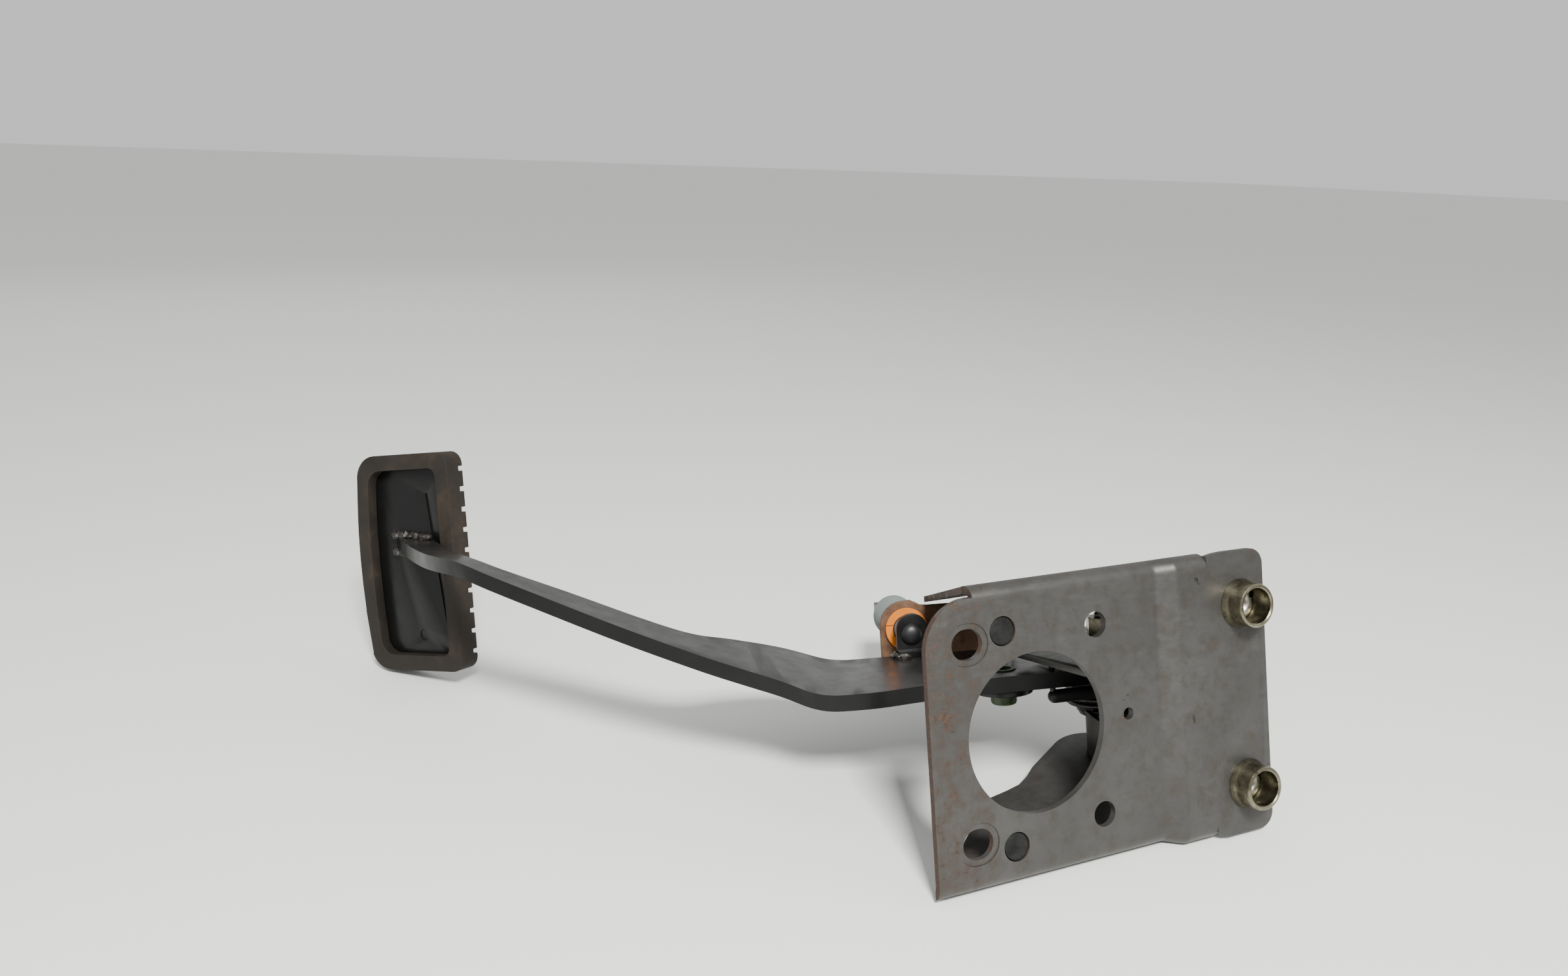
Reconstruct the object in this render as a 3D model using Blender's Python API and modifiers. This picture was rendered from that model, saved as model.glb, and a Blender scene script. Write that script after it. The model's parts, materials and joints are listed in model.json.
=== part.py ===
"""Automotive brake pedal assembly, lying on its side.

The bracket's own frame is used for modelling: X runs along the firewall plate (up in the car),
Y runs away from the plate's front face (towards the driver) and Z is the pivot's direction
(across the car). The origin is the centre of the booster opening in the plate's front face.
An empty then lays the whole assembly on the lower side wall, with +Z up.
Lengths in this file are millimetres; MM turns them into metres.
"""
import bmesh
import bpy
from math import acos, atan2, cos, pi, radians, sin, tan
from mathutils import Matrix, Vector

MM = 0.001
GAP = 0.3

# How the assembly lies
LEAN = radians(15.0)
LYING_SHIFT = (60.98, -140.65, 60.152)

# Firewall plate
SHEET = 3.0
PLATE_LEFT = -50.0
PLATE_RIGHT = 119.5
JOG_START = 63.0
JOG_END = 72.0
JOG_DEPTH = 4.3
WALL_LEFT = -27.0
WALL_RIGHT = 88.0
BEND_R = 6.0
BEND_TOP = 56.3
BEND_BOTTOM = -54.0
CORNER_TOP = 58.2
EAR_TOP = 63.2
EAR_BOTTOM = -61.5
CORNER_R = 20.0
EAR_R = 7.0
BOOSTER_R = 33.0
STUD_X = 31.0
STUD_Z = 40.0
STUD_R = 6.2
STUD_SLOT = 0.8
TOOLING_HOLE = (45.9, 0.1, 2.6)
PLUG_R = 6.0
PLUGS = ((-14.4, 43.3), (-13.2, -44.6))

# Side walls
UPPER_TAPER = radians(11.5)
LOWER_TAPER = radians(20.5)
WALL_REACH = 135.0

# Collars near the plate's upper end
COLLAR_X = 106.0
COLLAR_Z = 40.0
COLLAR_R = 9.7
COLLAR_BORE = 7.6
COLLAR_TIP = -14.0
COLLAR_HOLE_R = 8.6

# Pivot
PIVOT = (80.0, 55.0)
HUB_R = 15.0
HUB_BORE = 10.3
HUB_LOW = -15.0
HUB_HIGH = 14.6
BUSH_WALL = 2.9
FLANGE = 1.4
SLEEVE_R = 7.2
SLEEVE_BORE = 5.3
BOLT_R = 5.0
BOSS_R = 11.0
BOSS_LOW = -41.5
CHEEK_LOW = 17.0
CHEEK_LEFT = 29.5

# Pedal arm
ARM_TOP = 12.0
ARM_THICK = 7.2
ARM_END_R = 28.0
BEND_LINE = ((-67.1, 64.4), (-31.5, 126.6))
ARM_SLOPE = 0.40
SLOPE_LENGTH = 166.0
END_SLOPE = 0.085
BEND_SOFT = 9.0
CLEVIS = (23.0, 58.0)
CLEVIS_R = 6.0

# Pad
PAD_CORNER = (-197.3, 231.0)
PAD_MID_Z = 70.7
PAD_TURN = radians(48.0)
PAD_WIDE = 66.0
PAD_LONG = 117.0
PAD_DEEP = 12.5
PAD_LIP = 1.9
BACKING_AT = 6.3
BACKING_THICK = 2.4
GROOVE_PITCH = 10.9
GROOVES = 10
GROOVE_WIDE = 2.4
GROOVE_DEEP = 3.2

# Stop lamp switch, on its own axis: a runs to the rear, e sideways, Z up
SWITCH = (11.0, 125.0, 23.0)
SWITCH_TURN = radians(-19.6)
TAB_LEFT = -13.4
TAB_TOP = 14.6
TAB_BOTTOM = -16.5
CLIP_R = 10.8
BARREL_R = 6.6
CASE_R = 11.2

# Return spring
WIRE = 1.3
COIL_R = 18.6
COIL_LOW = -12.6
COIL_PITCH = 2.85
COIL_TURNS = 3.0
LEG_LEVEL = -0.9
SLEEVE_LEG_R = 3.1

COLOURS = {
    "bare_steel": ((0.17, 0.165, 0.155), 0.42, 0.9),
    "rusty_steel": ((0.16, 0.08, 0.045), 0.8, 0.3),
    "black_paint": ((0.012, 0.012, 0.012), 0.3, 0.0),
    "zinc": ((0.36, 0.34, 0.24), 0.3, 0.9),
    "rubber": ((0.022, 0.018, 0.014), 0.75, 0.0),
    "orange_plastic": ((0.85, 0.28, 0.03), 0.45, 0.0),
    "grey_plastic": ((0.13, 0.15, 0.15), 0.5, 0.0),
    "black_plastic": ((0.015, 0.015, 0.015), 0.5, 0.0),
    "green_plastic": ((0.05, 0.11, 0.03), 0.45, 0.0),
    "spring_steel": ((0.03, 0.03, 0.03), 0.45, 0.6),
}


# ---------------------------------------------------------------- scene and helpers

for old in list(bpy.data.objects):
    bpy.data.objects.remove(old, do_unlink=True)

parts = bpy.data.collections.new("brake_pedal_assembly")
cutters = bpy.data.collections.new("cutters")
bpy.context.scene.collection.children.link(parts)
bpy.context.scene.collection.children.link(cutters)


def material(slot):
    """The Principled material of a slot, made once."""
    if slot in bpy.data.materials:
        return bpy.data.materials[slot]
    colour, rough, metal = COLOURS[slot]
    made = bpy.data.materials.new(slot)
    made.use_nodes = True
    shader = made.node_tree.nodes["Principled BSDF"]
    shader.inputs["Base Color"].default_value = (*colour, 1.0)
    shader.inputs["Roughness"].default_value = rough
    shader.inputs["Metallic"].default_value = metal
    return made


def make_empty(name, location, parent=None):
    """An empty at a place given in millimetres in its parent's frame."""
    empty = bpy.data.objects.new(name, None)
    empty.location = Vector(location) * MM
    empty.parent = parent
    parts.objects.link(empty)
    return empty


assembly = make_empty("assembly", LYING_SHIFT)
assembly.rotation_euler = (-LEAN, 0.0, 0.0)
bracket = make_empty("bracket_frame", (0.0, 0.0, 0.0), assembly)
pedal = make_empty("pedal_pivot", (*PIVOT, 0.0), assembly)
plunger_slide = make_empty("plunger_slide", SWITCH, assembly)
FRAME_AT = {bracket: Vector((0, 0, 0)), pedal: Vector((*PIVOT, 0)), plunger_slide: Vector(SWITCH)}


def finish(obj, frame, slot, smooth=True):
    """Hang a piece modelled in the bracket's frame on its body's empty and give it a material."""
    obj.parent = frame
    obj.location = Vector(obj.location) - FRAME_AT[frame] * MM
    obj.data.materials.clear()
    obj.data.materials.append(material(slot))
    if smooth:
        obj.data.shade_smooth()
        obj.data.set_sharp_from_angle(angle=radians(35))
    return obj


def link_mesh(name, mesh, collection=None):
    """A mesh object in the parts collection, or in the one given."""
    obj = bpy.data.objects.new(name, mesh)
    (collection or parts).objects.link(obj)
    return obj


def arc(centre, radius, start, end, steps):
    """Points of an arc, its angles in degrees, both ends included."""
    angles = [radians(start + (end - start) * i / steps) for i in range(steps + 1)]
    return [(centre[0] + radius * cos(a), centre[1] + radius * sin(a)) for a in angles]


def as_mesh(curve_object):
    """Swap a curve object for its mesh, caps welded."""
    evaluated = curve_object.evaluated_get(bpy.context.evaluated_depsgraph_get())
    mesh = bpy.data.meshes.new_from_object(evaluated)
    work = bmesh.new()
    work.from_mesh(mesh)
    bmesh.ops.remove_doubles(work, verts=work.verts, dist=0.00001)
    bmesh.ops.recalc_face_normals(work, faces=work.faces)
    work.to_mesh(mesh)
    work.free()
    name, matrix = curve_object.name, curve_object.matrix_world.copy()
    bpy.data.objects.remove(curve_object, do_unlink=True)
    obj = link_mesh(name, mesh)
    obj.matrix_world = matrix
    return obj


def slab(name, outline, low, high, up="Z"):
    """A flat outline, filled and extruded from low to high along Z, or along Y for an (x, z) outline."""
    curve = bpy.data.curves.new(name, "CURVE")
    curve.dimensions = "2D"
    curve.fill_mode = "BOTH"
    curve.extrude = (high - low) / 2 * MM
    spline = curve.splines.new("POLY")
    spline.points.add(len(outline) - 1)
    for point, (u, v) in zip(spline.points, outline):
        point.co = (u * MM, v * MM, 0.0, 1.0)
    spline.use_cyclic_u = True
    obj = bpy.data.objects.new(name, curve)
    parts.objects.link(obj)
    middle = (low + high) / 2 * MM
    obj.location = (0, 0, middle)
    if up == "Y":
        obj.rotation_euler = (pi / 2, 0, 0)
        obj.location = (0, middle, 0)
    bpy.context.view_layer.update()
    obj = as_mesh(obj)
    bake_transform(obj)
    return obj


def bake_transform(obj):
    """Move an object's transform into its mesh."""
    obj.data.transform(obj.matrix_world)
    obj.matrix_world = Matrix.Identity(4)


def turned(name, profile, place, direction=(0, 0, 1), steps=40, ring=False):
    """A profile of (radius, height) turned about a direction through a place."""
    mesh = bpy.data.meshes.new(name)
    rows = [(r * MM, 0.0, h * MM) for r, h in profile]
    edges = [(i, i + 1) for i in range(len(rows) - 1)]
    if ring:
        edges.append((len(rows) - 1, 0))
    mesh.from_pydata(rows, edges, [])
    obj = link_mesh(name, mesh)
    screw = obj.modifiers.new("turn", "SCREW")
    screw.steps = steps
    screw.render_steps = steps
    screw.use_merge_vertices = True
    screw.merge_threshold = 0.00001
    turn = Vector((0, 0, 1)).rotation_difference(Vector(direction).normalized())
    obj.rotation_mode = "QUATERNION"
    obj.rotation_quaternion = turn
    obj.location = Vector(place) * MM
    return obj


def tube_profile(inner, outer, low, high):
    """The closed section of a plain tube, down its outer side first."""
    return [(inner, high), (outer, high), (outer, low), (inner, low)]


def rod_profile(radius, low, high):
    """The section of a solid rod, from the axis round to the axis."""
    return [(0.0, high), (radius, high), (radius, low), (0.0, low)]


def wire(name, points, radius, sides=2):
    """A round wire along millimetre points, as a closed mesh."""
    curve = bpy.data.curves.new(name, "CURVE")
    curve.dimensions = "3D"
    curve.bevel_depth = radius * MM
    curve.bevel_resolution = sides
    curve.use_fill_caps = True
    spline = curve.splines.new("POLY")
    spline.points.add(len(points) - 1)
    for point, place in zip(spline.points, points):
        point.co = (*(Vector(place) * MM), 1.0)
    obj = bpy.data.objects.new(name, curve)
    parts.objects.link(obj)
    bpy.context.view_layer.update()
    return as_mesh(obj)


def cutter(obj):
    """Set a piece aside as a cutter."""
    parts.objects.unlink(obj)
    cutters.objects.link(obj)
    obj.hide_render = True
    obj.display_type = "WIRE"
    return obj


def apply_boolean(target, tool, operation="DIFFERENCE"):
    """Cut, keep or join with another piece, and keep the result as the target's mesh."""
    modifier = target.modifiers.new("boolean", "BOOLEAN")
    modifier.operation = operation
    modifier.solver = "EXACT"
    modifier.object = tool
    bpy.context.view_layer.update()
    evaluated = target.evaluated_get(bpy.context.evaluated_depsgraph_get())
    mesh = bpy.data.meshes.new_from_object(evaluated)
    target.modifiers.clear()
    target.data = mesh
    bpy.data.objects.remove(tool, do_unlink=True)
    return target


def bore(target, place, radius, low, high, direction=(0, 0, 1), steps=32):
    """Drill a round hole through a piece."""
    tool = turned("drill", rod_profile(radius, low, high), place, direction, steps)
    return apply_boolean(target, cutter(tool))


# ---------------------------------------------------------------- the pressed bracket

def joggle(x):
    """How far the plate stands forward at x, in its own plane's normal."""
    share = min(max((x - JOG_START) / (JOG_END - JOG_START), 0.0), 1.0)
    return -JOG_DEPTH * share


def swept_sheet(name, stations, section):
    """A sheet swept along X: section(x) gives its closed outline as (y, z) points."""
    work = bmesh.new()
    rings = [[work.verts.new(Vector((x, y, z)) * MM) for y, z in section(x)] for x in stations]
    count = len(rings[0])
    for one, two in zip(rings, rings[1:]):
        for k in range(count):
            work.faces.new((one[k], one[(k + 1) % count], two[(k + 1) % count], two[k]))
    work.faces.new(rings[0][::-1])
    work.faces.new(rings[-1])
    bmesh.ops.recalc_face_normals(work, faces=work.faces)
    mesh = bpy.data.meshes.new(name)
    work.to_mesh(mesh)
    work.free()
    return link_mesh(name, mesh)


def plate_section(x):
    """The plate's section at x."""
    front = joggle(x)
    return [(front, -70), (front, 70), (front + SHEET, 70), (front + SHEET, -70)]


def plate_outline():
    """The plate's front outline in (x, z): a big upper left corner, wide ears at the right end."""
    low, high = BEND_BOTTOM + GAP, BEND_TOP - GAP
    corner = arc((PLATE_LEFT + CORNER_R, CORNER_TOP - CORNER_R), CORNER_R, 180, 90, 8)
    ear_top = arc((PLATE_RIGHT - EAR_R, EAR_TOP - EAR_R), EAR_R, 90, 0, 5)
    ear_low = arc((PLATE_RIGHT - EAR_R, EAR_BOTTOM + EAR_R), EAR_R, 0, -90, 5)
    edge = WALL_RIGHT + GAP
    return ([(PLATE_LEFT, low)] + corner + [(WALL_LEFT - GAP, CORNER_TOP), (WALL_LEFT - GAP, high), (edge, high),
            (edge + 2, EAR_TOP - 2.2), (edge + 12, EAR_TOP)] + ear_top + ear_low
            + [(edge + 12, EAR_BOTTOM), (edge + 2, EAR_BOTTOM + 2.2), (edge, low)])


def make_plate():
    """The firewall plate: one joggled sheet with the booster opening, stud holes and collar holes."""
    stations = [PLATE_LEFT - 2, JOG_START, JOG_END, PLATE_RIGHT + 2]
    plate = swept_sheet("front_plate", stations, plate_section)
    apply_boolean(plate, cutter(slab("outline", plate_outline(), -20, 20, "Y")), "INTERSECT")
    bore(plate, (0, 0, 0), BOOSTER_R, -20, 20, (0, 1, 0), 64)
    for x in (-STUD_X, STUD_X):
        for z in (-STUD_Z, STUD_Z):
            if x < 0:
                ends = arc((x + STUD_SLOT, z), STUD_R, -90, 90, 12) + arc((x - STUD_SLOT, z), STUD_R, 90, 270, 12)
                apply_boolean(plate, cutter(slab("slot", ends, -20, 20, "Y")))
            else:
                bore(plate, (x, 0, z), STUD_R - 0.8, -20, 20, (0, 1, 0), 28)
    for x, z in PLUGS:
        bore(plate, (x, 0, z), PLUG_R, -20, 20, (0, 1, 0), 24)
    bore(plate, (TOOLING_HOLE[0], 0, TOOLING_HOLE[1]), TOOLING_HOLE[2], -20, 20, (0, 1, 0), 16)
    for side in (-1, 1):
        bore(plate, (COLLAR_X, 0, side * COLLAR_Z), COLLAR_HOLE_R + GAP, -20, 20, (0, 1, 0), 32)
    return finish(plate, bracket, "bare_steel")


def wall_section(x, side):
    """A side wall's section at x: the bend out of the plate, then the tapered wall."""
    taper = UPPER_TAPER if side > 0 else LOWER_TAPER
    start = BEND_TOP if side > 0 else BEND_BOTTOM
    shift = joggle(x)
    middle = (BEND_R + shift, start - side * tan(taper) * shift)
    outer, inner = [], []
    for i in range(7):
        angle = (pi / 2 + taper) * i / 6
        for points, radius in ((outer, BEND_R), (inner, BEND_R - SHEET)):
            points.append((middle[0] - radius * cos(angle), middle[1] + side * radius * sin(angle)))
    for points in (outer, inner):
        y, z = points[-1]
        points.append((WALL_REACH, z - side * tan(taper) * (WALL_REACH - y)))
    return outer + inner[::-1]


def upper_wall_outline():
    """Plan of the upper wall, which reaches back to the switch."""
    px, py = PIVOT
    rear = arc((px - 6, py + 20), 24, 80, 10, 6)
    return [(WALL_LEFT, -9), (WALL_LEFT, 5), (19.5, 117), (24, 128), (40, 126)] + rear + [
        (WALL_RIGHT + 8, 40), (WALL_RIGHT, 22), (WALL_RIGHT, -9)]


def lower_wall_outline():
    """Plan of the lower wall: it rises from the plate's corner to a round boss behind the pivot."""
    px, py = PIVOT
    boss = arc((px - 6, py - 9), 29.5, 122, 20, 9)
    return [(PLATE_LEFT, -9), (PLATE_LEFT, 4), (2, 45.5), (22, 50.5), (38, 59.5)] + boss + [
        (WALL_RIGHT + 12, 34), (WALL_RIGHT, 16), (WALL_RIGHT, -9)]


def make_wall(name, side, outline):
    """A side wall with its bend, cut to its plan outline."""
    stations = [PLATE_LEFT - 5, JOG_START, JOG_END, PLATE_RIGHT + 5]
    wall = swept_sheet(name, stations, lambda x: wall_section(x, side))
    return apply_boolean(wall, cutter(slab("plan", outline, -90, 90)), "INTERSECT")


def make_bracket():
    """Both side walls, the inner cheek and the two plug welds."""
    upper = make_wall("upper_side_wall", 1, upper_wall_outline())
    for place in ((52, 62), (20, 80)):
        bore(upper, (*place, 0), 7.0 if place[0] > 30 else 4.5, 20, 90)
    finish(upper, bracket, "bare_steel")
    lower = make_wall("lower_side_wall", -1, lower_wall_outline())
    bore(lower, (*PIVOT, 0), BOSS_R + GAP, -90, -20)
    bore(lower, (10, 24, 0), 6.0, -90, -20, steps=24)
    finish(lower, bracket, "bare_steel")
    px, py = PIVOT
    outline = [(CHEEK_LEFT, SHEET + GAP), (CHEEK_LEFT, 58)] + arc((px + 2, py), 27, 125, 0, 10)
    outline += [(px + 29, 8), (px + 20, SHEET + GAP)]
    cheek = slab("inner_cheek", outline, CHEEK_LOW, CHEEK_LOW + SHEET)
    flange = slab("flange", [(CHEEK_LEFT + 4, SHEET + GAP), (JOG_START - 2, SHEET + GAP),
                             (JOG_START - 2, 2 * SHEET + GAP), (CHEEK_LEFT + 4, 2 * SHEET + GAP)],
                  CHEEK_LOW + 1, CHEEK_LOW + 17)
    apply_boolean(cheek, cutter(flange), "UNION")
    bore(cheek, (*PIVOT, 0), BOLT_R + GAP, 0, 40)
    finish(cheek, bracket, "bare_steel")
    for name, (x, z) in zip(("plug_weld_upper", "plug_weld_lower"), PLUGS):
        plug = turned(name, rod_profile(PLUG_R - GAP, 0.2, SHEET - 0.2), (x, 0, z), (0, 1, 0), 24)
        finish(plug, bracket, "bare_steel")


def make_collars():
    """Two spacer collars through the plate, each with a captive nut inside."""
    for side, name in ((1, "upper"), (-1, "lower")):
        place = (COLLAR_X, 0, side * COLLAR_Z)
        face = -JOG_DEPTH - GAP
        profile = [(COLLAR_BORE, 6.0), (COLLAR_HOLE_R, 6.0), (COLLAR_HOLE_R, face), (COLLAR_R + 0.9, face),
                   (COLLAR_R, face - 3), (COLLAR_R, COLLAR_TIP + 0.9), (COLLAR_R - 0.9, COLLAR_TIP),
                   (COLLAR_BORE + 0.5, COLLAR_TIP), (COLLAR_BORE, COLLAR_TIP + 0.6)]
        finish(turned(f"{name}_collar", profile, place, (0, 1, 0), 36, ring=True), bracket, "zinc")
        nut = turned(f"{name}_collar_nut", rod_profile(COLLAR_BORE - GAP, -3.5, 5.6), place, (0, 1, 0), 6)
        bore(nut, place, 4.3, -10, 4.6, (0, 1, 0), 24)
        finish(nut, bracket, "zinc", smooth=False)


# ---------------------------------------------------------------- pivot

def make_pivot():
    """The pivot bolt and what it clamps: boss, sleeve, washer and nut."""
    axis = (*PIVOT, 0)
    boss = turned("pivot_boss", tube_profile(SLEEVE_BORE, BOSS_R, BOSS_LOW, HUB_LOW - FLANGE - 2 * GAP), axis,
                  ring=True)
    finish(boss, bracket, "bare_steel")
    head = BOSS_LOW - GAP
    bolt_top = CHEEK_LOW + SHEET + 12.5
    profile = [(0, bolt_top), (BOLT_R - 0.8, bolt_top), (BOLT_R, bolt_top - 0.8), (BOLT_R, head), (8.6, head),
               (8.6, head - 2.8), (7.6, head - 3.7), (0, head - 3.7)]
    finish(turned("pivot_bolt", profile, axis), bracket, "zinc")
    sleeve = tube_profile(SLEEVE_BORE, SLEEVE_R, HUB_LOW - FLANGE, CHEEK_LOW - GAP)
    finish(turned("pivot_sleeve", sleeve, axis, ring=True), bracket, "bare_steel")
    top = CHEEK_LOW + SHEET + GAP
    washer = tube_profile(BOLT_R + GAP, 10.5, top, top + 1.6)
    finish(turned("pivot_washer", washer, axis, ring=True), bracket, "zinc")
    nut = turned("pivot_nut", rod_profile(9.2, top + 1.9, top + 9.5), axis, steps=6)
    bore(nut, axis, BOLT_R + GAP, 0, 60)
    finish(nut, bracket, "zinc", smooth=False)


def make_hub():
    """The hub tube welded through the arm and its two flanged bushes."""
    axis = (*PIVOT, 0)
    hub = turned("hub_tube", tube_profile(HUB_BORE, HUB_R, HUB_LOW, HUB_HIGH), axis, ring=True)
    finish(hub, pedal, "black_paint")
    inner = SLEEVE_R + 0.1
    outer = HUB_BORE - GAP
    low_bush = [(inner, -3), (outer, -3), (outer, HUB_LOW - GAP), (HUB_R - 1, HUB_LOW - GAP),
                (HUB_R - 1, HUB_LOW - FLANGE), (inner, HUB_LOW - FLANGE)]
    finish(turned("hub_bush_lower", low_bush, axis, ring=True), pedal, "black_plastic")
    high = HUB_HIGH + FLANGE
    high_bush = [(inner, high), (HUB_R - 1, high), (HUB_R - 1, HUB_HIGH + GAP), (outer, HUB_HIGH + GAP),
                 (outer, 3), (inner, 3)]
    finish(turned("hub_bush_upper", high_bush, axis, ring=True), pedal, "black_plastic")


def make_spring():
    """The return spring: a coil round the hub on the bracket, its free leg on the pedal."""
    px, py = PIVOT
    points = []
    steps = int(COIL_TURNS * 16)
    for i in range(steps + 1):
        angle = 2 * pi * i / 16 + radians(200)
        level = COIL_LOW + COIL_PITCH * i / 16
        points.append((px + COIL_R * cos(angle), py + COIL_R * sin(angle), level))
    start = Vector(points[0])
    foot = [(52.0, 6.5, COIL_LOW - 3.0), (56.0, 20.0, COIL_LOW - 3.0)]
    finish(wire("return_spring", foot + [tuple(start + Vector((-1.4, -6.0, -0.9)))] + points, WIRE), bracket,
           "spring_steel")
    hook = Vector((41.0, 45.0))
    reach = hook - Vector(PIVOT)
    swing = atan2(reach.y, reach.x)
    open_angle = acos(COIL_R / reach.length)
    leg = []
    for i in range(6):
        angle = swing + open_angle + radians(60) * (1 - i / 5)
        leg.append((px + COIL_R * cos(angle), py + COIL_R * sin(angle), LEG_LEVEL))
    tangent = Vector(leg[-1])
    end = Vector((hook.x, hook.y, LEG_LEVEL))
    along = (end - tangent).normalized()
    leg += [tuple(end - along * 1.2), (end.x, end.y, LEG_LEVEL + 1.2), (end.x, end.y, ARM_TOP + 1.5)]
    finish(wire("spring_leg", leg, WIRE), pedal, "spring_steel")
    length = (end - tangent).length
    cover = turned("spring_leg_cover", tube_profile(WIRE + GAP, SLEEVE_LEG_R, 3.0, length - 2.0), tangent, along,
                   20, ring=True)
    finish(cover, pedal, "rubber")


# ---------------------------------------------------------------- pedal arm

def pad_point(across, out):
    """Plan position of a point on the pad: across its short side, and out through its thickness."""
    side = Vector((-cos(PAD_TURN), sin(PAD_TURN)))
    face = Vector((sin(PAD_TURN), cos(PAD_TURN)))
    return Vector(PAD_CORNER) + side * across + face * out


def arm_height(x, y):
    """Top of the arm at a plan point: level at the bracket, then a ramp, then nearly level at the pad."""
    first, second = Vector(BEND_LINE[0]), Vector(BEND_LINE[1])
    along = (second - first).normalized()
    distance = (Vector((x, y)) - first).dot(Vector((-along.y, along.x)))

    def soft(value):
        if value <= -BEND_SOFT:
            return 0.0
        if value >= BEND_SOFT:
            return value
        return (value + BEND_SOFT) ** 2 / (4 * BEND_SOFT)

    return ARM_TOP + ARM_SLOPE * soft(distance) - (ARM_SLOPE - END_SLOPE) * soft(distance - SLOPE_LENGTH)


# Front and rear edge of the arm in plan, from the pivot to the pad
ARM_EDGES = (
    ((72.0, 28.0), (89.5, 81.5)),
    ((49.0, 35.0), (60.0, 93.5)),
    ((10.4, 46.5), (28.0, 105.0)),
    ((-20.0, 53.5), (4.0, 113.8)),
    ((-44.0, 56.5), (-14.0, 120.3)),
    ((-64.0, 64.5), (-31.5, 126.6)),
    ((-79.0, 76.0), (-55.0, 132.0)),
    ((-95.0, 82.5), (-82.0, 128.0)),
    ((-112.0, 90.0), (-104.0, 122.5)),
    ((-140.0, 107.0), (-124.0, 129.5)),
    ((-170.0, 130.0), (-155.0, 148.5)),
    ((-199.0, 155.0), (-190.0, 169.0)),
    ((-212.0, 180.0), (-199.5, 190.0)),
    ((-218.0, 212.0), (-202.5, 216.0)),
    (tuple(pad_point(44.5, BACKING_AT - GAP)), tuple(pad_point(19.0, BACKING_AT - GAP))),
)


def smooth_row(values, i, t):
    """Catmull-Rom point between control points i and i + 1."""
    last = len(values) - 1
    a, b, c, d = (Vector(values[min(max(k, 0), last)]) for k in (i - 1, i, i + 1, i + 2))
    return 0.5 * (2 * b + (c - a) * t + (2 * a - 5 * b + 4 * c - d) * t * t + (3 * b - a - 3 * c + d) * t ** 3)


def make_arm():
    """The arm: one bent flat bar, lofted along its two edges and joined to a round pivot end."""
    steps = 4
    rows = []
    fronts, rears = [e[0] for e in ARM_EDGES], [e[1] for e in ARM_EDGES]
    for i in range(len(ARM_EDGES) - 1):
        for k in range(steps + (i == len(ARM_EDGES) - 2)):
            rows.append((smooth_row(fronts, i, k / steps), smooth_row(rears, i, k / steps)))
    work = bmesh.new()
    rings = []
    for front, rear in rows:
        ring = []
        for point, drop in ((front, 0), (rear, 0), (rear, ARM_THICK), (front, ARM_THICK)):
            ring.append(work.verts.new(Vector((point.x, point.y, arm_height(point.x, point.y) - drop)) * MM))
        rings.append(ring)
    for one, two in zip(rings, rings[1:]):
        for k in range(4):
            work.faces.new((one[k], one[(k + 1) % 4], two[(k + 1) % 4], two[k]))
    work.faces.new(rings[0][::-1])
    work.faces.new(rings[-1])
    bmesh.ops.recalc_face_normals(work, faces=work.faces)
    mesh = bpy.data.meshes.new("pedal_arm")
    work.to_mesh(mesh)
    work.free()
    arm = link_mesh("pedal_arm", mesh)
    end = turned("arm_end", rod_profile(ARM_END_R, ARM_TOP - ARM_THICK, ARM_TOP), (*PIVOT, 0), steps=48)
    apply_boolean(arm, cutter(end), "UNION")
    bore(arm, (*PIVOT, 0), HUB_R + GAP, -5, 25)
    bore(arm, (*CLEVIS, 0), CLEVIS_R + GAP, -5, 25, steps=24)
    bore(arm, (41.0, 45.0, 0), WIRE + GAP, -5, 25, steps=12)
    return finish(arm, pedal, "black_paint")


def make_clevis():
    """The doubler under the arm at the pushrod hole and the green bush in it."""
    x, y = CLEVIS
    low = ARM_TOP - ARM_THICK - GAP
    doubler = slab("clevis_doubler", arc((x, y), 13.5, 0, 360, 28)[:-1], low - 2.6, low)
    bore(doubler, (x, y, 0), CLEVIS_R + GAP, -20, 20, steps=24)
    finish(doubler, pedal, "black_paint")
    bush = [(4.2, ARM_TOP + 0.6), (CLEVIS_R, ARM_TOP + 0.6), (CLEVIS_R, low - 7.4), (5.2, low - 8.4),
            (4.2, low - 8.4)]
    finish(turned("clevis_bush", bush, (x, y, 0), steps=28, ring=True), pedal, "green_plastic")


# ---------------------------------------------------------------- stop lamp switch

REARWARD = Vector((-sin(SWITCH_TURN), cos(SWITCH_TURN), 0))
SIDEWAYS = Vector((cos(SWITCH_TURN), sin(SWITCH_TURN), 0))


def on_switch(e, a, up):
    """A point in the bracket's frame from the switch's own sideways, rearward and upward distances."""
    return Vector(SWITCH) + SIDEWAYS * e + REARWARD * a + Vector((0, 0, up))


def switch_slab(name, outline, front, rear):
    """An (e, up) outline extruded along the switch's axis."""
    obj = slab(name, outline, front, rear, "Y")
    obj.data.transform(Matrix.Translation(Vector(SWITCH) * MM) @ Matrix.Rotation(SWITCH_TURN, 4, "Z"))
    return obj


def switch_turned(name, profile, steps=36, ring=False):
    """A profile turned about the switch's axis, heights measured rearwards."""
    return turned(name, profile, SWITCH, REARWARD, steps, ring)


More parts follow.
